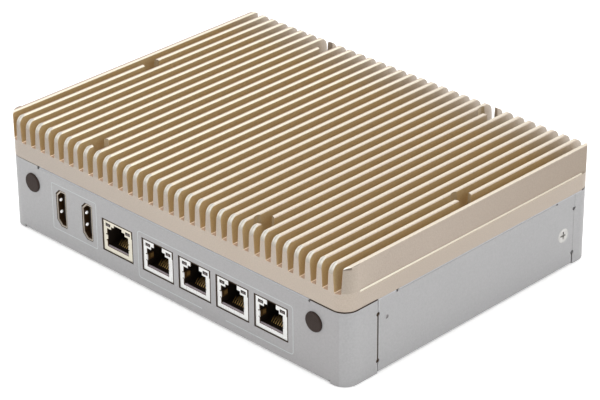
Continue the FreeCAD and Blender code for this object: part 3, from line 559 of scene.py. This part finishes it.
# Painted glint: near-white dimples that also glow, though they are no lamp.
DIMPLE_GLINT = Finish(
    "dimple_painted_glint", Slot.BRIGHT, light=(0.97, 0.97, 0.96), dark=(0.93, 0.93, 0.92),
    metallic=0.3, rough_low=0.12, rough_high=0.2, cloud=0.002, relief=0.0002,
    depth=0.000002, coat=0.5, coat_roughness=0.1, glow=0.5)
SCREW_STEEL = Finish(
    "zinc_steel", Slot.STEEL, light=(0.54, 0.53, 0.51), dark=(0.44, 0.43, 0.415),
    metallic=0.9, rough_low=0.3, rough_high=0.45, cloud=0.002, relief=0.0002,
    depth=0.000006)
BLACK_PLASTIC = Finish(
    "moulded_black", Slot.PLASTIC, light=(0.016, 0.010, 0.006), dark=(0.010, 0.006, 0.004),
    rough_low=0.5, rough_high=0.65, cloud=0.004, specular=0.25)
LIP_GREY = Finish(
    "moulded_grey", Slot.PLASTIC, light=(0.46, 0.40, 0.44), dark=(0.41, 0.355, 0.39),
    rough_high=0.55)
PLUG_RUBBER = Finish(
    "dark_rubber", Slot.RUBBER, light=(0.031, 0.018, 0.014), dark=(0.025, 0.014, 0.010),
    rough_low=0.5, rough_high=0.65, specular=0.2)
# Gold contacts; the zone is painted shade that darkens them as they rise deeper into the mouth.
SPRING_GOLD = Finish(
    "spring_gold", Slot.GOLD, light=(0.42, 0.27, 0.075), dark=(0.36, 0.22, 0.06),
    metallic=0.5, rough_low=0.3, rough_high=0.45, cloud=0.002, relief=0.0002,
    depth=0.000004, grain=Grain.ALONG_Y,
    zones=(Zone((0.08, 0.045, 0.012), (), fade=Span(Axis.Z, 10.1, 11.5)),))
SMOKED_WINDOW = Finish(
    "smoked_window", Slot.WINDOW, light=(0.020, 0.011, 0.008), dark=(0.014, 0.008, 0.006),
    rough_low=0.3, rough_high=0.4, cloud=0.002, depth=0.000004, specular=0.2)
WINDOW_LENS = Finish(
    "window_lens", Slot.WINDOW, light=(0.21, 0.165, 0.16), dark=(0.16, 0.125, 0.12),
    rough_low=0.2, rough_high=0.3, cloud=0.002, depth=0.000004, coat=0.3)
# Painted highlight: pale cream along the ledge's inner corner, duller towards the back.
LEDGE_HIGHLIGHT = Finish(
    "ledge_painted_highlight", Slot.LID, light=(0.95, 0.90, 0.76), dark=(0.92, 0.86, 0.72),
    metallic=0.3, rough_low=0.3, rough_high=0.4, cloud=0.01, depth=0.000004,
    grain=Grain.ALONG_Y,
    zones=(Zone((0.84, 0.765, 0.64), (), fade=Span(Axis.Y, -45.0, 10.0)),))
LAMINATE_GREEN = Finish(
    "board_green", Slot.LAMINATE, light=(0.045, 0.20, 0.11), dark=(0.03, 0.15, 0.08),
    rough_low=0.3, rough_high=0.45, relief=0.0004, depth=0.00002, coat=0.3)
CHIP_NICKEL = Finish(
    "chip_nickel", Slot.CHIP, light=(0.74, 0.74, 0.75), dark=(0.62, 0.62, 0.63),
    metallic=1.0, rough_low=0.25, rough_high=0.4, cloud=0.004, depth=0.000006)
PAD_GREY = Finish(
    "pad_grey", Slot.PAD, light=(0.46, 0.48, 0.52), dark=(0.38, 0.40, 0.44),
    rough_low=0.7, rough_high=0.85, relief=0.0004, depth=0.00002)
MILLED_ALUMINIUM = Finish(
    "milled_aluminium", Slot.ALUMINIUM, light=(0.80, 0.80, 0.82), dark=(0.70, 0.70, 0.72),
    metallic=1.0, rough_low=0.25, rough_high=0.42, cloud=0.004,
    depth=0.000008, grain=Grain.ALONG_X)
PALE_INK = Finish(
    "pale_ink", Slot.CHASSIS, light=(0.56, 0.59, 0.59), dark=(0.50, 0.53, 0.53),
    rough_low=0.45, rough_high=0.6, depth=0.000004)


# ---------------- surfaces on grids
def grid_faces(rows: int, columns: int, wrap_rows: bool = False,
               wrap_columns: bool = False) -> np.ndarray:
    """Corner numbers of a grid's quads: each joins a point, its right, upper right and upper one.

    Args:
        rows: points along the first parameter.
        columns: points along the second parameter.
        wrap_rows: whether the last row meets the first.
        wrap_columns: whether the last column meets the first.

    Returns:
        An array of four corner numbers a face.
    """
    last_row = rows if wrap_rows else rows - 1
    last_column = columns if wrap_columns else columns - 1
    r, c = np.meshgrid(np.arange(last_row), np.arange(last_column), indexing="ij")
    r2, c2 = (r + 1) % rows, (c + 1) % columns
    quads = np.stack([r * columns + c, r2 * columns + c, r2 * columns + c2, r * columns + c2], -1)
    return quads.reshape(-1, 4)


def new_piece(name: str, points: np.ndarray, quads: np.ndarray, finish: Finish,
              smooth: bool = True) -> None:
    """Makes a mesh piece that rides on the object's body.

    Args:
        name: the piece's name.
        points: corner places in millimetres, three numbers a point.
        quads: corner numbers, four a row.
        finish: its finish.
        smooth: whether it is shaded smooth.
    """
    mesh = bpy.data.meshes.new(name)
    mesh.from_pydata(points.reshape(-1, 3) * MM, [], quads)
    mesh.validate()
    if smooth:
        mesh.shade_smooth()
    mesh.materials.append(finish.material())
    piece = bpy.data.objects.new(name, mesh)
    bpy.context.scene.collection.objects.link(piece)
    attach(piece, "root")


def rounded_path(half_width: float, half_height: float, radius: float, steps: int) -> np.ndarray:
    """Outline of a rectangle with round corners, anticlockwise about its middle.

    Each corner's points are its centre plus the radius times the cosine and sine of an angle
    that runs through a quarter turn.

    Args:
        half_width: half its width.
        half_height: half its height.
        radius: corner radius.
        steps: points a corner.

    Returns:
        Points, two numbers a row.
    """
    turn = np.linspace(0.0, math.pi / 2, steps)[None, :] + np.arange(4)[:, None] * math.pi / 2
    sign_x = np.array([1, -1, -1, 1])[:, None]
    sign_y = np.array([1, 1, -1, -1])[:, None]
    x = sign_x * (half_width - radius) + radius * np.cos(turn)
    y = sign_y * (half_height - radius) + radius * np.sin(turn)
    return np.stack([x.ravel(), y.ravel()], -1)


def strip(name: str, path: np.ndarray, closed: bool, width: float, level: float, film: float,
          finish: Finish) -> None:
    """Carries a flat band with two bevelled edges along a path in a plane of constant Y.

    At each point the band's four profile points lie across the path, along the mean normal
    of the path's two runs, lengthened by one over the cosine of half their turn.

    Args:
        name: the piece's name.
        path: middle of the band, (x, z) a row.
        closed: whether the last point meets the first.
        width: the band's width.
        level: Y of the surface that it lies on.
        film: how far it stands out of that surface.
        finish: its finish.
    """
    before = np.roll(path, 1, axis=0)
    after = np.roll(path, -1, axis=0)
    if not closed:
        before[0], after[-1] = 2 * path[0] - path[1], 2 * path[-1] - path[-2]
    run_in = path - before
    run_out = after - path
    run_in /= np.linalg.norm(run_in, axis=1, keepdims=True)
    run_out /= np.linalg.norm(run_out, axis=1, keepdims=True)
    tangent = run_in + run_out
    tangent /= np.linalg.norm(tangent, axis=1, keepdims=True)
    stretch = 1.0 / np.maximum((tangent * run_in).sum(1), 0.5)
    normal = np.stack([tangent[:, 1], -tangent[:, 0]], -1) * stretch[:, None]
    across = np.array([-1.0, -0.8, 0.8, 1.0]) * width / 2
    lift = np.array([0.0, 1.0, 1.0, 0.0]) * film
    flat = path[:, None, :] + normal[:, None, :] * across[None, :, None]
    depth = np.broadcast_to(level - lift, flat.shape[:2])
    points = np.stack([flat[..., 0], depth, flat[..., 1]], -1)
    quads = grid_faces(len(path), len(across), wrap_rows=closed)[:, ::-1]
    new_piece(name, points, quads, finish)


def ribbon(name: str, path: np.ndarray, low: float, high: float, finish: Finish) -> None:
    """Upright band along a path in plan, facing to the right of its run.

    Args:
        name: the piece's name.
        path: (x, y) a row.
        low: its lower edge.
        high: its upper edge.
        finish: its finish.
    """
    points = np.empty((len(path), 2, 3))
    points[..., :2] = path[:, None, :]
    points[..., 2] = low, high
    new_piece(name, points, grid_faces(len(path), 2), finish)


def bars(name: str, starts: np.ndarray, ends: np.ndarray, half_wide: np.ndarray,
         half_high: np.ndarray, finish: Finish) -> None:
    """Straight bars: each end's corners are its middle plus or minus both halves.

    Args:
        name: the piece's name.
        starts: one end of each bar.
        ends: the other end of each.
        half_wide: half of the section along its first side, once or for each bar.
        half_high: half of it along its second side, once or for each bar.
        finish: the bars' finish.
    """
    section = (BOX_CORNERS[:, :1] * np.atleast_2d(half_wide)[:, None, :]
               + BOX_CORNERS[:, 1:] * np.atleast_2d(half_high)[:, None, :])
    points = np.stack([starts, ends], 1)[:, :, None, :] + section[:, None, :, :]
    quads = (np.arange(len(starts))[:, None, None] * 8 + BOX_FACES).reshape(-1, 4)
    new_piece(name, points, quads, finish, smooth=False)


def boxes(name: str, corners: np.ndarray, finish: Finish) -> None:
    """Boxes as one piece, each a bar along Y.

    Args:
        name: the piece's name.
        corners: (x0, y0, z0, x1, y1, z1) a row.
        finish: their finish.
    """
    middle = (corners[:, 3:] + corners[:, :3]) / 2
    wide, deep, high = ((corners[:, 3:] - corners[:, :3]) / 2 * axis for axis in np.eye(3))
    bars(name, middle - deep, middle + deep, wide, high, finish)


def dome(name: str, outline: np.ndarray, foot: Vector, first: Vector, second: Vector,
         height: float, finish: Finish) -> None:
    """Low dome over a flat outline: it rises by the square root of one less share squared.

    Args:
        name: the piece's name.
        outline: the foot's outline, two numbers a row.
        foot: middle of the foot.
        first: direction of the outline's first number.
        second: direction of its second number.
        height: the dome's height, along first cross second.
        finish: its finish.
    """
    share = np.cos(np.linspace(0.0, math.pi / 2, DOME_RINGS))[:, None, None]
    flat = outline[None, :, :] * share
    up = np.array(first.cross(second)) * height
    points = (np.array(foot) + flat[..., :1] * np.array(first) + flat[..., 1:] * np.array(second)
              + np.sqrt(np.maximum(1 - share**2, 0.0)) * up)
    quads = grid_faces(DOME_RINGS, len(outline), wrap_columns=True)[:, ::-1]
    new_piece(name, points, quads, finish)


# ---------------- sub-assemblies
def dress(names: list[str], finish: Finish) -> None:
    """Gives CAD nodes a finish.

    Args:
        names: the nodes.
        finish: their finish.
    """
    for name in names:
        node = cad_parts[name]
        node.data.materials.clear()
        node.data.materials.append(finish.material())
        LOG.info("%s: %s", name, finish.name)


@dataclass(frozen=True)
class Shell:
    """A socket's shell: its number and the corners of its box, in millimetres."""

    number: int
    low: Vector
    high: Vector

    @property
    def middle(self) -> float:
        """X of the shell's middle."""
        return (self.low.x + self.high.x) / 2


@dataclass
class FinnedLid:
    """Heat-sink lid with its screws."""

    finish: Finish = CHAMPAGNE
    screws: int = 6
    ledge_width: float = 0.61
    ledge_rise: float = 0.42
    ledge_film: float = 0.01
    ledge_setback: float = 7.0
    ledge_steps: int = 7

    def build(self) -> None:
        """Dresses the lid and the screws in its pockets."""
        dress(["heatsink_lid"], self.finish)
        dress([f"lid_screw_{k + 1}" for k in range(self.screws)], SCREW_STEEL)
        for side, name in SIDES:
            self.ledge(side, name)

    def ledge(self, side: float, name: str) -> None:
        """Strip with a painted highlight in the inner corner of the ledge along one side of the
        lid.

        The section is a shallow hollow curve from the ledge's rim up to the fin.

        Args:
            side: -1 for the lid's left side, 1 for its right side.
            name: the side's name.
        """
        turn = np.linspace(0.0, math.pi / 2, self.ledge_steps)
        reach = np.array([WALL + self.ledge_setback, REAR - CORNER_RADIUS])
        points = np.empty((len(turn), 2, 3))
        points[..., 0] = side * (SIDE - self.ledge_width * np.sin(turn))[:, None]
        points[..., 1] = reach[::-int(side)]
        points[..., 2] = (LEDGE_LEVEL + self.ledge_film
                          + self.ledge_rise * (1.0 - np.cos(turn)))[:, None]
        new_piece(f"lid_ledge_{name}", points, grid_faces(len(turn), 2), LEDGE_HIGHLIGHT)


@dataclass
class PrintedOutline:
    """Thin pale line printed round a group of sockets on the front wall, in millimetres."""

    name: str
    left: float
    right: float
    low: float
    high: float
    radius: float
    gap: tuple[float, float] | None = None
    width: float = 0.38
    film: float = 0.03
    corner_steps: int = 9

    def path(self) -> np.ndarray:
        """Middle of the line, from the gap's right end round to its left end.

        Returns:
            Points (x, z), closed where the outline has no gap.
        """
        centre = np.array([(self.left + self.right) / 2, (self.low + self.high) / 2])
        ring = rounded_path((self.right - self.left) / 2, (self.high - self.low) / 2,
                            self.radius, self.corner_steps) + centre
        if self.gap is None:
            return ring
        ring = np.roll(ring, self.corner_steps, axis=0)
        start, end = self.gap
        return np.vstack([[end, self.low], ring, [start, self.low]])

    def build(self) -> None:
        """Prints the line."""
        strip(self.name, self.path(), self.gap is None, self.width, WALL, self.film, PALE_INK)
        LOG.info("%s: printed", self.name)


@dataclass
class FoldedChassis:
    """Folded tray and rear panel, with the print on the front wall and their open joints."""

    finish: Finish = POWDER_GREY
    outlines: list[PrintedOutline] = field(default_factory=lambda: [
        PrintedOutline("video_outline", -63.65, -38.7, 6.45, 25.55, 0.6),
        PrintedOutline("row_outline", -16.0, 63.1, 3.85, 23.05, 1.2, gap=(17.4, 29.5)),
    ])
    shade_setback: float = 0.15
    seam_depth: float = 0.3
    bend_steps: int = 12
    rear_seam: float = 55.95
    lining_setback: float = 0.07
    lining_half: float = 0.7
    relief_clearance: float = 0.9
    side_notch: tuple[float, float] = (-41.0, -39.3)

    def build(self) -> None:
        """Dresses the sheet metal, prints the outlines and dresses the open joints."""
        dress(["chassis_tray", "rear_panel"], self.finish)
        for outline in self.outlines:
            outline.build()
        self.lid_gap()
        self.rear_seams()
        self.side_edges()
        self.front_seam()

    def lid_gap(self) -> None:
        """Dark inside of the gap under the lid, round the right front corner."""
        turn = np.linspace(-math.pi / 2, 0.0, self.bend_steps)
        middle = np.array([SIDE - CORNER_RADIUS, WALL + CORNER_RADIUS])
        bend = middle + (CORNER_RADIUS - self.shade_setback) * np.stack([np.cos(turn),
                                                                         np.sin(turn)], -1)
        gap = np.vstack([[FOLD_END + 0.4, WALL + self.shade_setback], bend,
                         [SIDE - self.shade_setback, FRONT_SEAM]])
        ribbon("lid_gap_shade", gap, RAW_EDGE - 0.05, LID_FOOT + 0.02, PAINTED_SHADE)

    def rear_seams(self) -> None:
        """Linings in the rear seams, above and below their upper relief."""
        for side, name in SIDES:
            run = np.array([-side, side]) * self.lining_half + self.rear_seam
            path = np.stack([np.full(2, side * (SIDE - self.lining_setback)), run], -1)
            ribbon(f"rear_seam_{name}", path, RELIEF_LOW + self.relief_clearance,
                   RELIEF_HIGH - self.relief_clearance, self.finish)
            ribbon(f"rear_slit_{name}", path, RELIEF_HIGH + self.relief_clearance,
                   RAW_EDGE - 0.05, self.finish)

    def side_edges(self) -> None:
        """Rolled edges that close the joint of lid and right side behind the front seam."""
        start, stop = FRONT_SEAM + 0.1, REAR - CORNER_RADIUS
        spans = ((start, self.side_notch[0]), (self.side_notch[1], stop))
        # The lower bands take the chassis finish, whose painted fold highlight lies on them.
        for k, ends in enumerate(spans):
            edge = np.array([(SIDE - 0.01, y) for y in ends])
            ribbon(f"side_fold_edge_{k}", edge, RAW_EDGE - 0.05, LID_FOOT - 0.07, self.finish)
        edge = np.array([(SIDE - 0.005, start), (SIDE - 0.005, stop)])
        ribbon("side_lid_edge", edge, LID_FOOT - 0.04, LID_FOOT + 0.35, CHAMPAGNE)

    def front_seam(self) -> None:
        """Dark inside of the right front seam and of its reliefs."""
        depth = SIDE - self.seam_depth
        seam = np.array([(depth, FRONT_SEAM - 0.9), (depth, FRONT_SEAM + 1.0)])
        ribbon("seam_shade", seam, RELIEF_LOW - 0.9, RELIEF_HIGH + 1.3, PAINTED_SHADE)


@dataclass
class NetworkJacks:
    """Modular network jacks: the single one is nickel plated, the row is bright tin.

    The tables hold boxes as (x0, y0, z0, x1, y1, z1). Here x starts at the jack's middle, y at
    its face and z at the floor. A contact's foot, head and back are (y, z).
    """

    row: int = 4
    gap: float = 0.6
    gap_low: float = 0.4
    gap_shade_setback: float = 0.15
    rim: Rows = ((-7.8, 0.0, 7.82, 7.8, 0.5, 8.05),)
    fingers: Rows = ((7.8, 0.0, 8.2, 8.15, 0.8, 17.5), (-8.0, 0.0, 8.2, -7.8, 0.8, 17.5))
    tab: Rows = ((-6.05, 0.0, 12.85, -5.6, 0.35, 14.55),)
    teeth: Rows = ((5.6, 0.0, 9.75, 6.05, 0.3, 12.15), (5.6, 0.0, 12.65, 6.05, 0.3, 14.45),
                   (5.6, 0.0, 14.95, 6.05, 0.3, 17.35))
    notches: Rows = ((-6.55, -0.02, 14.65, -6.0, 0.3, 15.1), (-6.4, -0.02, 12.1, -6.0, 0.3, 12.6),
                     (7.35, -0.02, 17.6, 7.9, 0.3, 20.4))
    lip: Rows = ((-5.95, 0.4, 9.7, 5.95, 0.9, 10.1),)
    contacts: int = 8
    contact_pitch: float = 1.02
    contact_size: float = 0.22
    contact_foot: tuple[float, float] = (3.4, 9.7)
    contact_head: tuple[float, float] = (5.2, 11.7)
    contact_back: tuple[float, float] = (-0.77, 0.64)
    lens_half: tuple[float, float] = (0.75, 0.22)
    lens_radius: float = 0.2
    lens_height: float = 0.12
    lens_offset: float = 5.35
    lens_level: float = 18.7

    def build(self) -> None:
        """Dresses the jacks and adds the painted shade in their gaps, their fingers, contacts and
        lenses.
        """
        for k in range(self.row + 1):
            finish = PLATED_BRIGHT if k else PLATED_CREAM
            dress([f"jack_shield_{k}"], finish)
            dress([f"jack_insert_{k}"], BLACK_PLASTIC)
            dress([f"jack_wires_{k}"], SPRING_GOLD)
            dress([f"jack_lights_{k}"], SMOKED_WINDOW)
            shell = Shell(k, *(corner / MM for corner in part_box(f"jack_shield_{k}")))
            face = np.array((shell.middle, shell.low.y, 0.0) * 2)
            self.gap_shade(shell)
            metal = self.rim + self.fingers + self.tab + self.teeth
            boxes(f"jack_fingers_{k}", np.array(metal) + face, finish)
            # Painted shade: dark boxes stand for the shade inside the shield's notches.
            boxes(f"jack_notches_{k}", np.array(self.notches) + face, PAINTED_SHADE)
            boxes(f"jack_lip_{k}", np.array(self.lip) + face, LIP_GREY)
            self.springs(shell)
            self.lenses(shell)
            LOG.info("jack %d: detailed", k)

    def gap_shade(self, shell: Shell) -> None:
        """Painted shade: a dark band in the gap between the shield and the wall's opening, where
        there is only shade.

        Args:
            shell: the jack's shield.
        """
        wide = shell.high.x - shell.low.x + self.gap
        tall = shell.high.z - shell.low.z + (self.gap + self.gap_low) / 2
        lift = (self.gap - self.gap_low) / 4
        centre = np.array([shell.middle, (shell.low.z + shell.high.z) / 2 + lift])
        path = rounded_path(wide / 2, tall / 2, 0.01, 2) + centre
        strip(f"jack_gap_shade_{shell.number}", path, True, self.gap, WALL + self.gap_shade_setback, 0.0,
              PAINTED_SHADE)

    def springs(self, shell: Shell) -> None:
        """Gold contacts that rise from the mouth's floor towards the back.

        Args:
            shell: the jack's shield.
        """
        ends = np.empty((2, self.contacts, 3))
        ends[..., 0] = (np.arange(self.contacts) - (self.contacts - 1) / 2) * self.contact_pitch
        ends[..., 1:] = np.array([self.contact_foot, self.contact_head])[:, None, :]
        half = self.contact_size / 2 * np.array([(1.0, 0.0, 0.0), (0.0, *self.contact_back)])
        bars(f"jack_contacts_{shell.number}", *(ends + (shell.middle, shell.low.y, 0.0)), *half,
             SPRING_GOLD)

    def lenses(self, shell: Shell) -> None:
        """Small lens in each light window.

        Args:
            shell: the jack's shield.
        """
        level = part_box(f"jack_lights_{shell.number}")[0].y / MM
        outline = rounded_path(*self.lens_half, self.lens_radius, 5)
        for side, name in SIDES:
            foot = Vector((shell.middle + side * self.lens_offset, level + 0.02, self.lens_level))
            dome(f"jack_lens_{shell.number}_{name}", outline, foot, Vector((1, 0, 0)),
                 Vector((0, 0, 1)), self.lens_height, WINDOW_LENS)


@dataclass
class VideoSockets:
    """Two upright video sockets with spring dimples in their shells."""

    count: int = 2
    face_height: float = 14.8
    gap: float = 0.3
    gap_shade_setback: float = 0.1
    chamfer: float = 2.2
    shade_lap: float = 0.35
    shade_film: float = 0.01
    dimple_radius: float = 0.66
    dimple_height: float = 0.4
    dimple_rise: float = 2.5
    dimple_depth: float = 1.55
    wall: float = 0.45
    spokes: int = 24

    def build(self) -> None:
        """Dresses the sockets and adds painted shade in their gaps, and two dimples to the narrow
        wall of each.
        """
        for k in range(1, self.count + 1):
            dress([f"video_shell_{k}"], PLATED_DIM)
            dress([f"video_tongue_{k}"], BLACK_PLASTIC)
            low, high = (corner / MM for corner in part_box(f"video_shell_{k}"))
            low.z = high.z - self.face_height
            shell = Shell(k, low, high)
            self.gap_shade(shell)
            self.dimples(shell)

    def gap_shade(self, shell: Shell) -> None:
        """Painted shade: a dark band in the gap round a shell, whose narrow side has cut corners,
        where there is only shade.

        Args:
            shell: the socket's shell, without its legs.
        """
        half = self.gap / 2
        cut = self.chamfer + half * math.tan(math.pi / 8)
        left, right = shell.low.x - half, shell.high.x + half
        bottom, top = shell.low.z - half, shell.high.z + half
        path = np.array([(right, bottom), (right, top), (left + cut, top), (left, top - cut),
                         (left, bottom + cut), (left + cut, bottom)])
        strip(f"video_gap_shade_{shell.number}", path, True, self.gap, WALL + self.gap_shade_setback, 0.0,
              PAINTED_SHADE)
        shade = path[2:4] + np.array([-self.shade_lap / 2, self.shade_lap / 2])
        strip(f"video_shade_{shell.number}", shade, False, self.shade_lap,
              WALL - self.shade_film, 0.0, PAINTED_SHADE)

    def dimples(self, shell: Shell) -> None:
        """Spring dimples in the shell's left wall, one above the other.

        Args:
            shell: the socket's shell, without its legs.
        """
        turn = np.linspace(0.0, 2 * math.pi, self.spokes, endpoint=False)
        circle = np.stack([np.cos(turn), np.sin(turn)], -1) * self.dimple_radius
        middle = shell.high.z - self.face_height / 2
        for number, side in enumerate((-1, 1), 1):
            foot = Vector((shell.low.x + self.wall, shell.low.y + self.dimple_depth,
                           middle + side * self.dimple_rise))
            dome(f"video_dimple_{shell.number}_{number}", circle, foot, Vector((0, 1, 0)),
                 Vector((0, 0, 1)), self.dimple_height, DIMPLE_GLINT)
        LOG.info("video socket %d: detailed", shell.number)


@dataclass
class SmallHardware:
    """Hole plugs and countersunk side screws."""

    sides: tuple[str, str] = ("left", "right")

    def build(self) -> None:
        """Dresses plugs and side screws."""
        dress([f"hole_plug_{side}" for side in self.sides], PLUG_RUBBER)
        dress([f"side_screw_{side}" for side in self.sides], SCREW_STEEL)


@dataclass
class RearSockets:
    """Power inlet and double data sockets on the rear panel."""

    count: int = 2

    def build(self) -> None:
        """Dresses the rear sockets."""
        dress(["power_inlet"], BLACK_PLASTIC)
        dress(["power_pin"], SCREW_STEEL)
        for k in range(1, self.count + 1):
            dress([f"usb_shell_{k}"], PLATED_BRIGHT)
            dress([f"usb_insert_{k}"], BLACK_PLASTIC)


@dataclass
class InnerParts:
    """Board, processor path and modules, which the closed case hides."""

    board_screws: int = 4

    def build(self) -> None:
        """Dresses all that the case holds."""
        dress(["main_board", "memory_module", "storage_module"], LAMINATE_GREEN)
        dress(["processor", "coin_cell"], CHIP_NICKEL)
        dress(["thermal_pad"], PAD_GREY)
        dress(["heat_block"], MILLED_ALUMINIUM)
        dress(["memory_socket", "storage_socket", "cell_holder"], BLACK_PLASTIC)
        steel = ["block_screws", "storage_post", "storage_screw"]
        dress(steel + [f"board_screw_{k + 1}" for k in range(self.board_screws)], SCREW_STEEL)


# ---------------- studio
@dataclass
class SoftLamp:
    """A large square lamp that faces the object."""

    name: str
    place: tuple[float, float, float]
    size: float
    power: float

    def build(self, aim: Vector) -> None:
        """Hangs the lamp.

        Args:
            aim: the point that it faces.
        """
        lamp = bpy.data.lights.new(self.name, "AREA")
        lamp.shape = "SQUARE"
        lamp.size = self.size
        lamp.energy = self.power
        holder = bpy.data.objects.new(self.name, lamp)
        holder.location = self.place
        holder.rotation_euler = (aim - Vector(self.place)).to_track_quat("-Z", "Y").to_euler()
        bpy.context.scene.collection.objects.link(holder)


def seen_share(tree: bpy.types.NodeTree) -> bpy.types.NodeSocket:
    """1 for camera, glossy and transmission rays, 0 for the rest.

    Args:
        tree: the tree that gets the nodes.

    Returns:
        The value.
    """
    path = tree.nodes.new("ShaderNodeLightPath")
    share = path.outputs["Is Camera Ray"]
    for ray in ("Is Glossy Ray", "Is Transmission Ray"):
        larger = tree.nodes.new("ShaderNodeMath")
        larger.operation = "MAXIMUM"
        tree.links.new(share, larger.inputs[0])
        tree.links.new(path.outputs[ray], larger.inputs[1])
        share = larger.outputs[0]
    return share


@dataclass
class Studio:
    """Pale floor, white surroundings, soft lamps and the camera."""

    floor_radius: float = 4.0
    floor_middle: float = 0.02
    floor_rings: int = 6
    floor_spokes: int = 64
    floor_gap: float = 0.0002
    floor_tones: tuple[Colour, Colour] = ((0.86, 0.86, 0.86), (0.88, 0.88, 0.88))
    floor_glow: float = 0.32
    world_light: float = 0.43
    yaw: float = 0.7792066
    pitch: float = 0.4899945
    roll: float = -0.0076290
    eye: tuple[float, float, float] = (577.656, -583.039, 453.723)
    lens: float = 148.194
    sensor: float = 36.0
    near_clip: float = 0.05
    lamps: list[SoftLamp] = field(default_factory=lambda: [
        SoftLamp("overhead", (-0.1, 0.2, 1.6), 1.2, 23.0),
        SoftLamp("front_left", (-0.9, -1.3, 0.9), 1.2, 6.8),
        SoftLamp("right_side", (1.6, -0.1, 0.8), 1.2, 6.8),
    ])

    def build_world(self) -> None:
        """White world to the eye and in reflections, and a soft even light for the rest."""
        world = bpy.data.worlds.new("studio_world")
        bpy.context.scene.world = world
        world.use_nodes = True
        tree = world.node_tree
        background = tree.nodes["Background"]
        background.inputs["Color"].default_value = (1.0, 1.0, 1.0, 1.0)
        strength = tree.nodes.new("ShaderNodeMapRange")
        strength.inputs["To Min"].default_value = self.world_light
        strength.inputs["To Max"].default_value = 1.0
        tree.links.new(seen_share(tree), strength.inputs["Value"])
        tree.links.new(strength.outputs["Result"], background.inputs["Strength"])

    def build_floor(self) -> None:
        """Round pale floor: a grid in radius and angle, just under the object."""
        shape = (self.floor_rings, self.floor_spokes)
        radius = np.linspace(self.floor_middle, 1.0, self.floor_rings)[:, None]
        turn = np.linspace(0.0, 2 * math.pi, self.floor_spokes, endpoint=False)[None, :]
        points = np.empty((*shape, 3))
        points[..., 0] = radius * self.floor_radius * np.cos(turn)
        points[..., 1] = radius * self.floor_radius * np.sin(turn)
        points[..., 2] = CAD_BOX[0][2] - self.floor_gap
        quads = grid_faces(*shape, wrap_columns=True).tolist()
        mesh = bpy.data.meshes.new("floor")
        mesh.from_pydata(points.reshape(-1, 3), [], quads + [list(range(self.floor_spokes))])
        floor = bpy.data.objects.new("floor", mesh)
        bpy.context.scene.collection.objects.link(floor)
        graph = Graph("pale_floor")
        clouds = graph.noise(0.3, 3.0, graph.place)
        graph.feed(graph.shader, {
            "Roughness": 0.85, "Specular IOR Level": 0.2, "Emission Color": (1.0, 1.0, 1.0, 1.0),
            "Base Color": graph.blend(clouds, *self.floor_tones),
            "Emission Strength": graph.work("MULTIPLY", seen_share(graph.tree),
                                            self.floor_glow)})
        mesh.materials.append(graph.material)

    def build_camera(self) -> None:
        """Camera whose axes come from yaw, pitch and roll about the object's frame."""
        level = Vector((math.cos(self.yaw), math.sin(self.yaw), 0.0))
        ahead = Vector((-level.y, level.x, 0.0)) * math.cos(self.pitch)
        forward = ahead - Vector((0.0, 0.0, math.sin(self.pitch)))
        upright = level.cross(forward)
        right = level * math.cos(self.roll) + upright * math.sin(self.roll)
        up = upright * math.cos(self.roll) - level * math.sin(self.roll)
        turn = Matrix((right, up, -forward)).transposed().to_4x4()
        lens = bpy.data.cameras.new("camera")
        lens.lens = self.lens
        lens.sensor_width = self.sensor
        lens.clip_start = self.near_clip
        holder = bpy.data.objects.new("camera", lens)
        holder.matrix_world = Matrix.Translation(Vector(self.eye) * MM) @ turn
        bpy.context.scene.collection.objects.link(holder)
        bpy.context.scene.camera = holder

    def build(self) -> None:
        """Sets world, floor, lamps and camera."""
        bpy.context.scene.view_settings.view_transform = "Standard"
        self.build_world()
        self.build_floor()
        aim = Vector((0.0, 0.0, CAD_BOX[1][2] / 2))
        for lamp in self.lamps:
            lamp.build(aim)
        self.build_camera()


def main() -> None:
    """Builds and dresses every piece, then the studio."""
    logging.basicConfig(level=logging.INFO, format="%(name)s %(message)s")
    parts = [FinnedLid(), FoldedChassis(), NetworkJacks(), VideoSockets(), SmallHardware(),
             RearSockets(), InnerParts(), Studio()]
    for part in parts:
        part.build()
        LOG.info("%s: done", type(part).__name__)


if __name__ == "__main__":
    main()
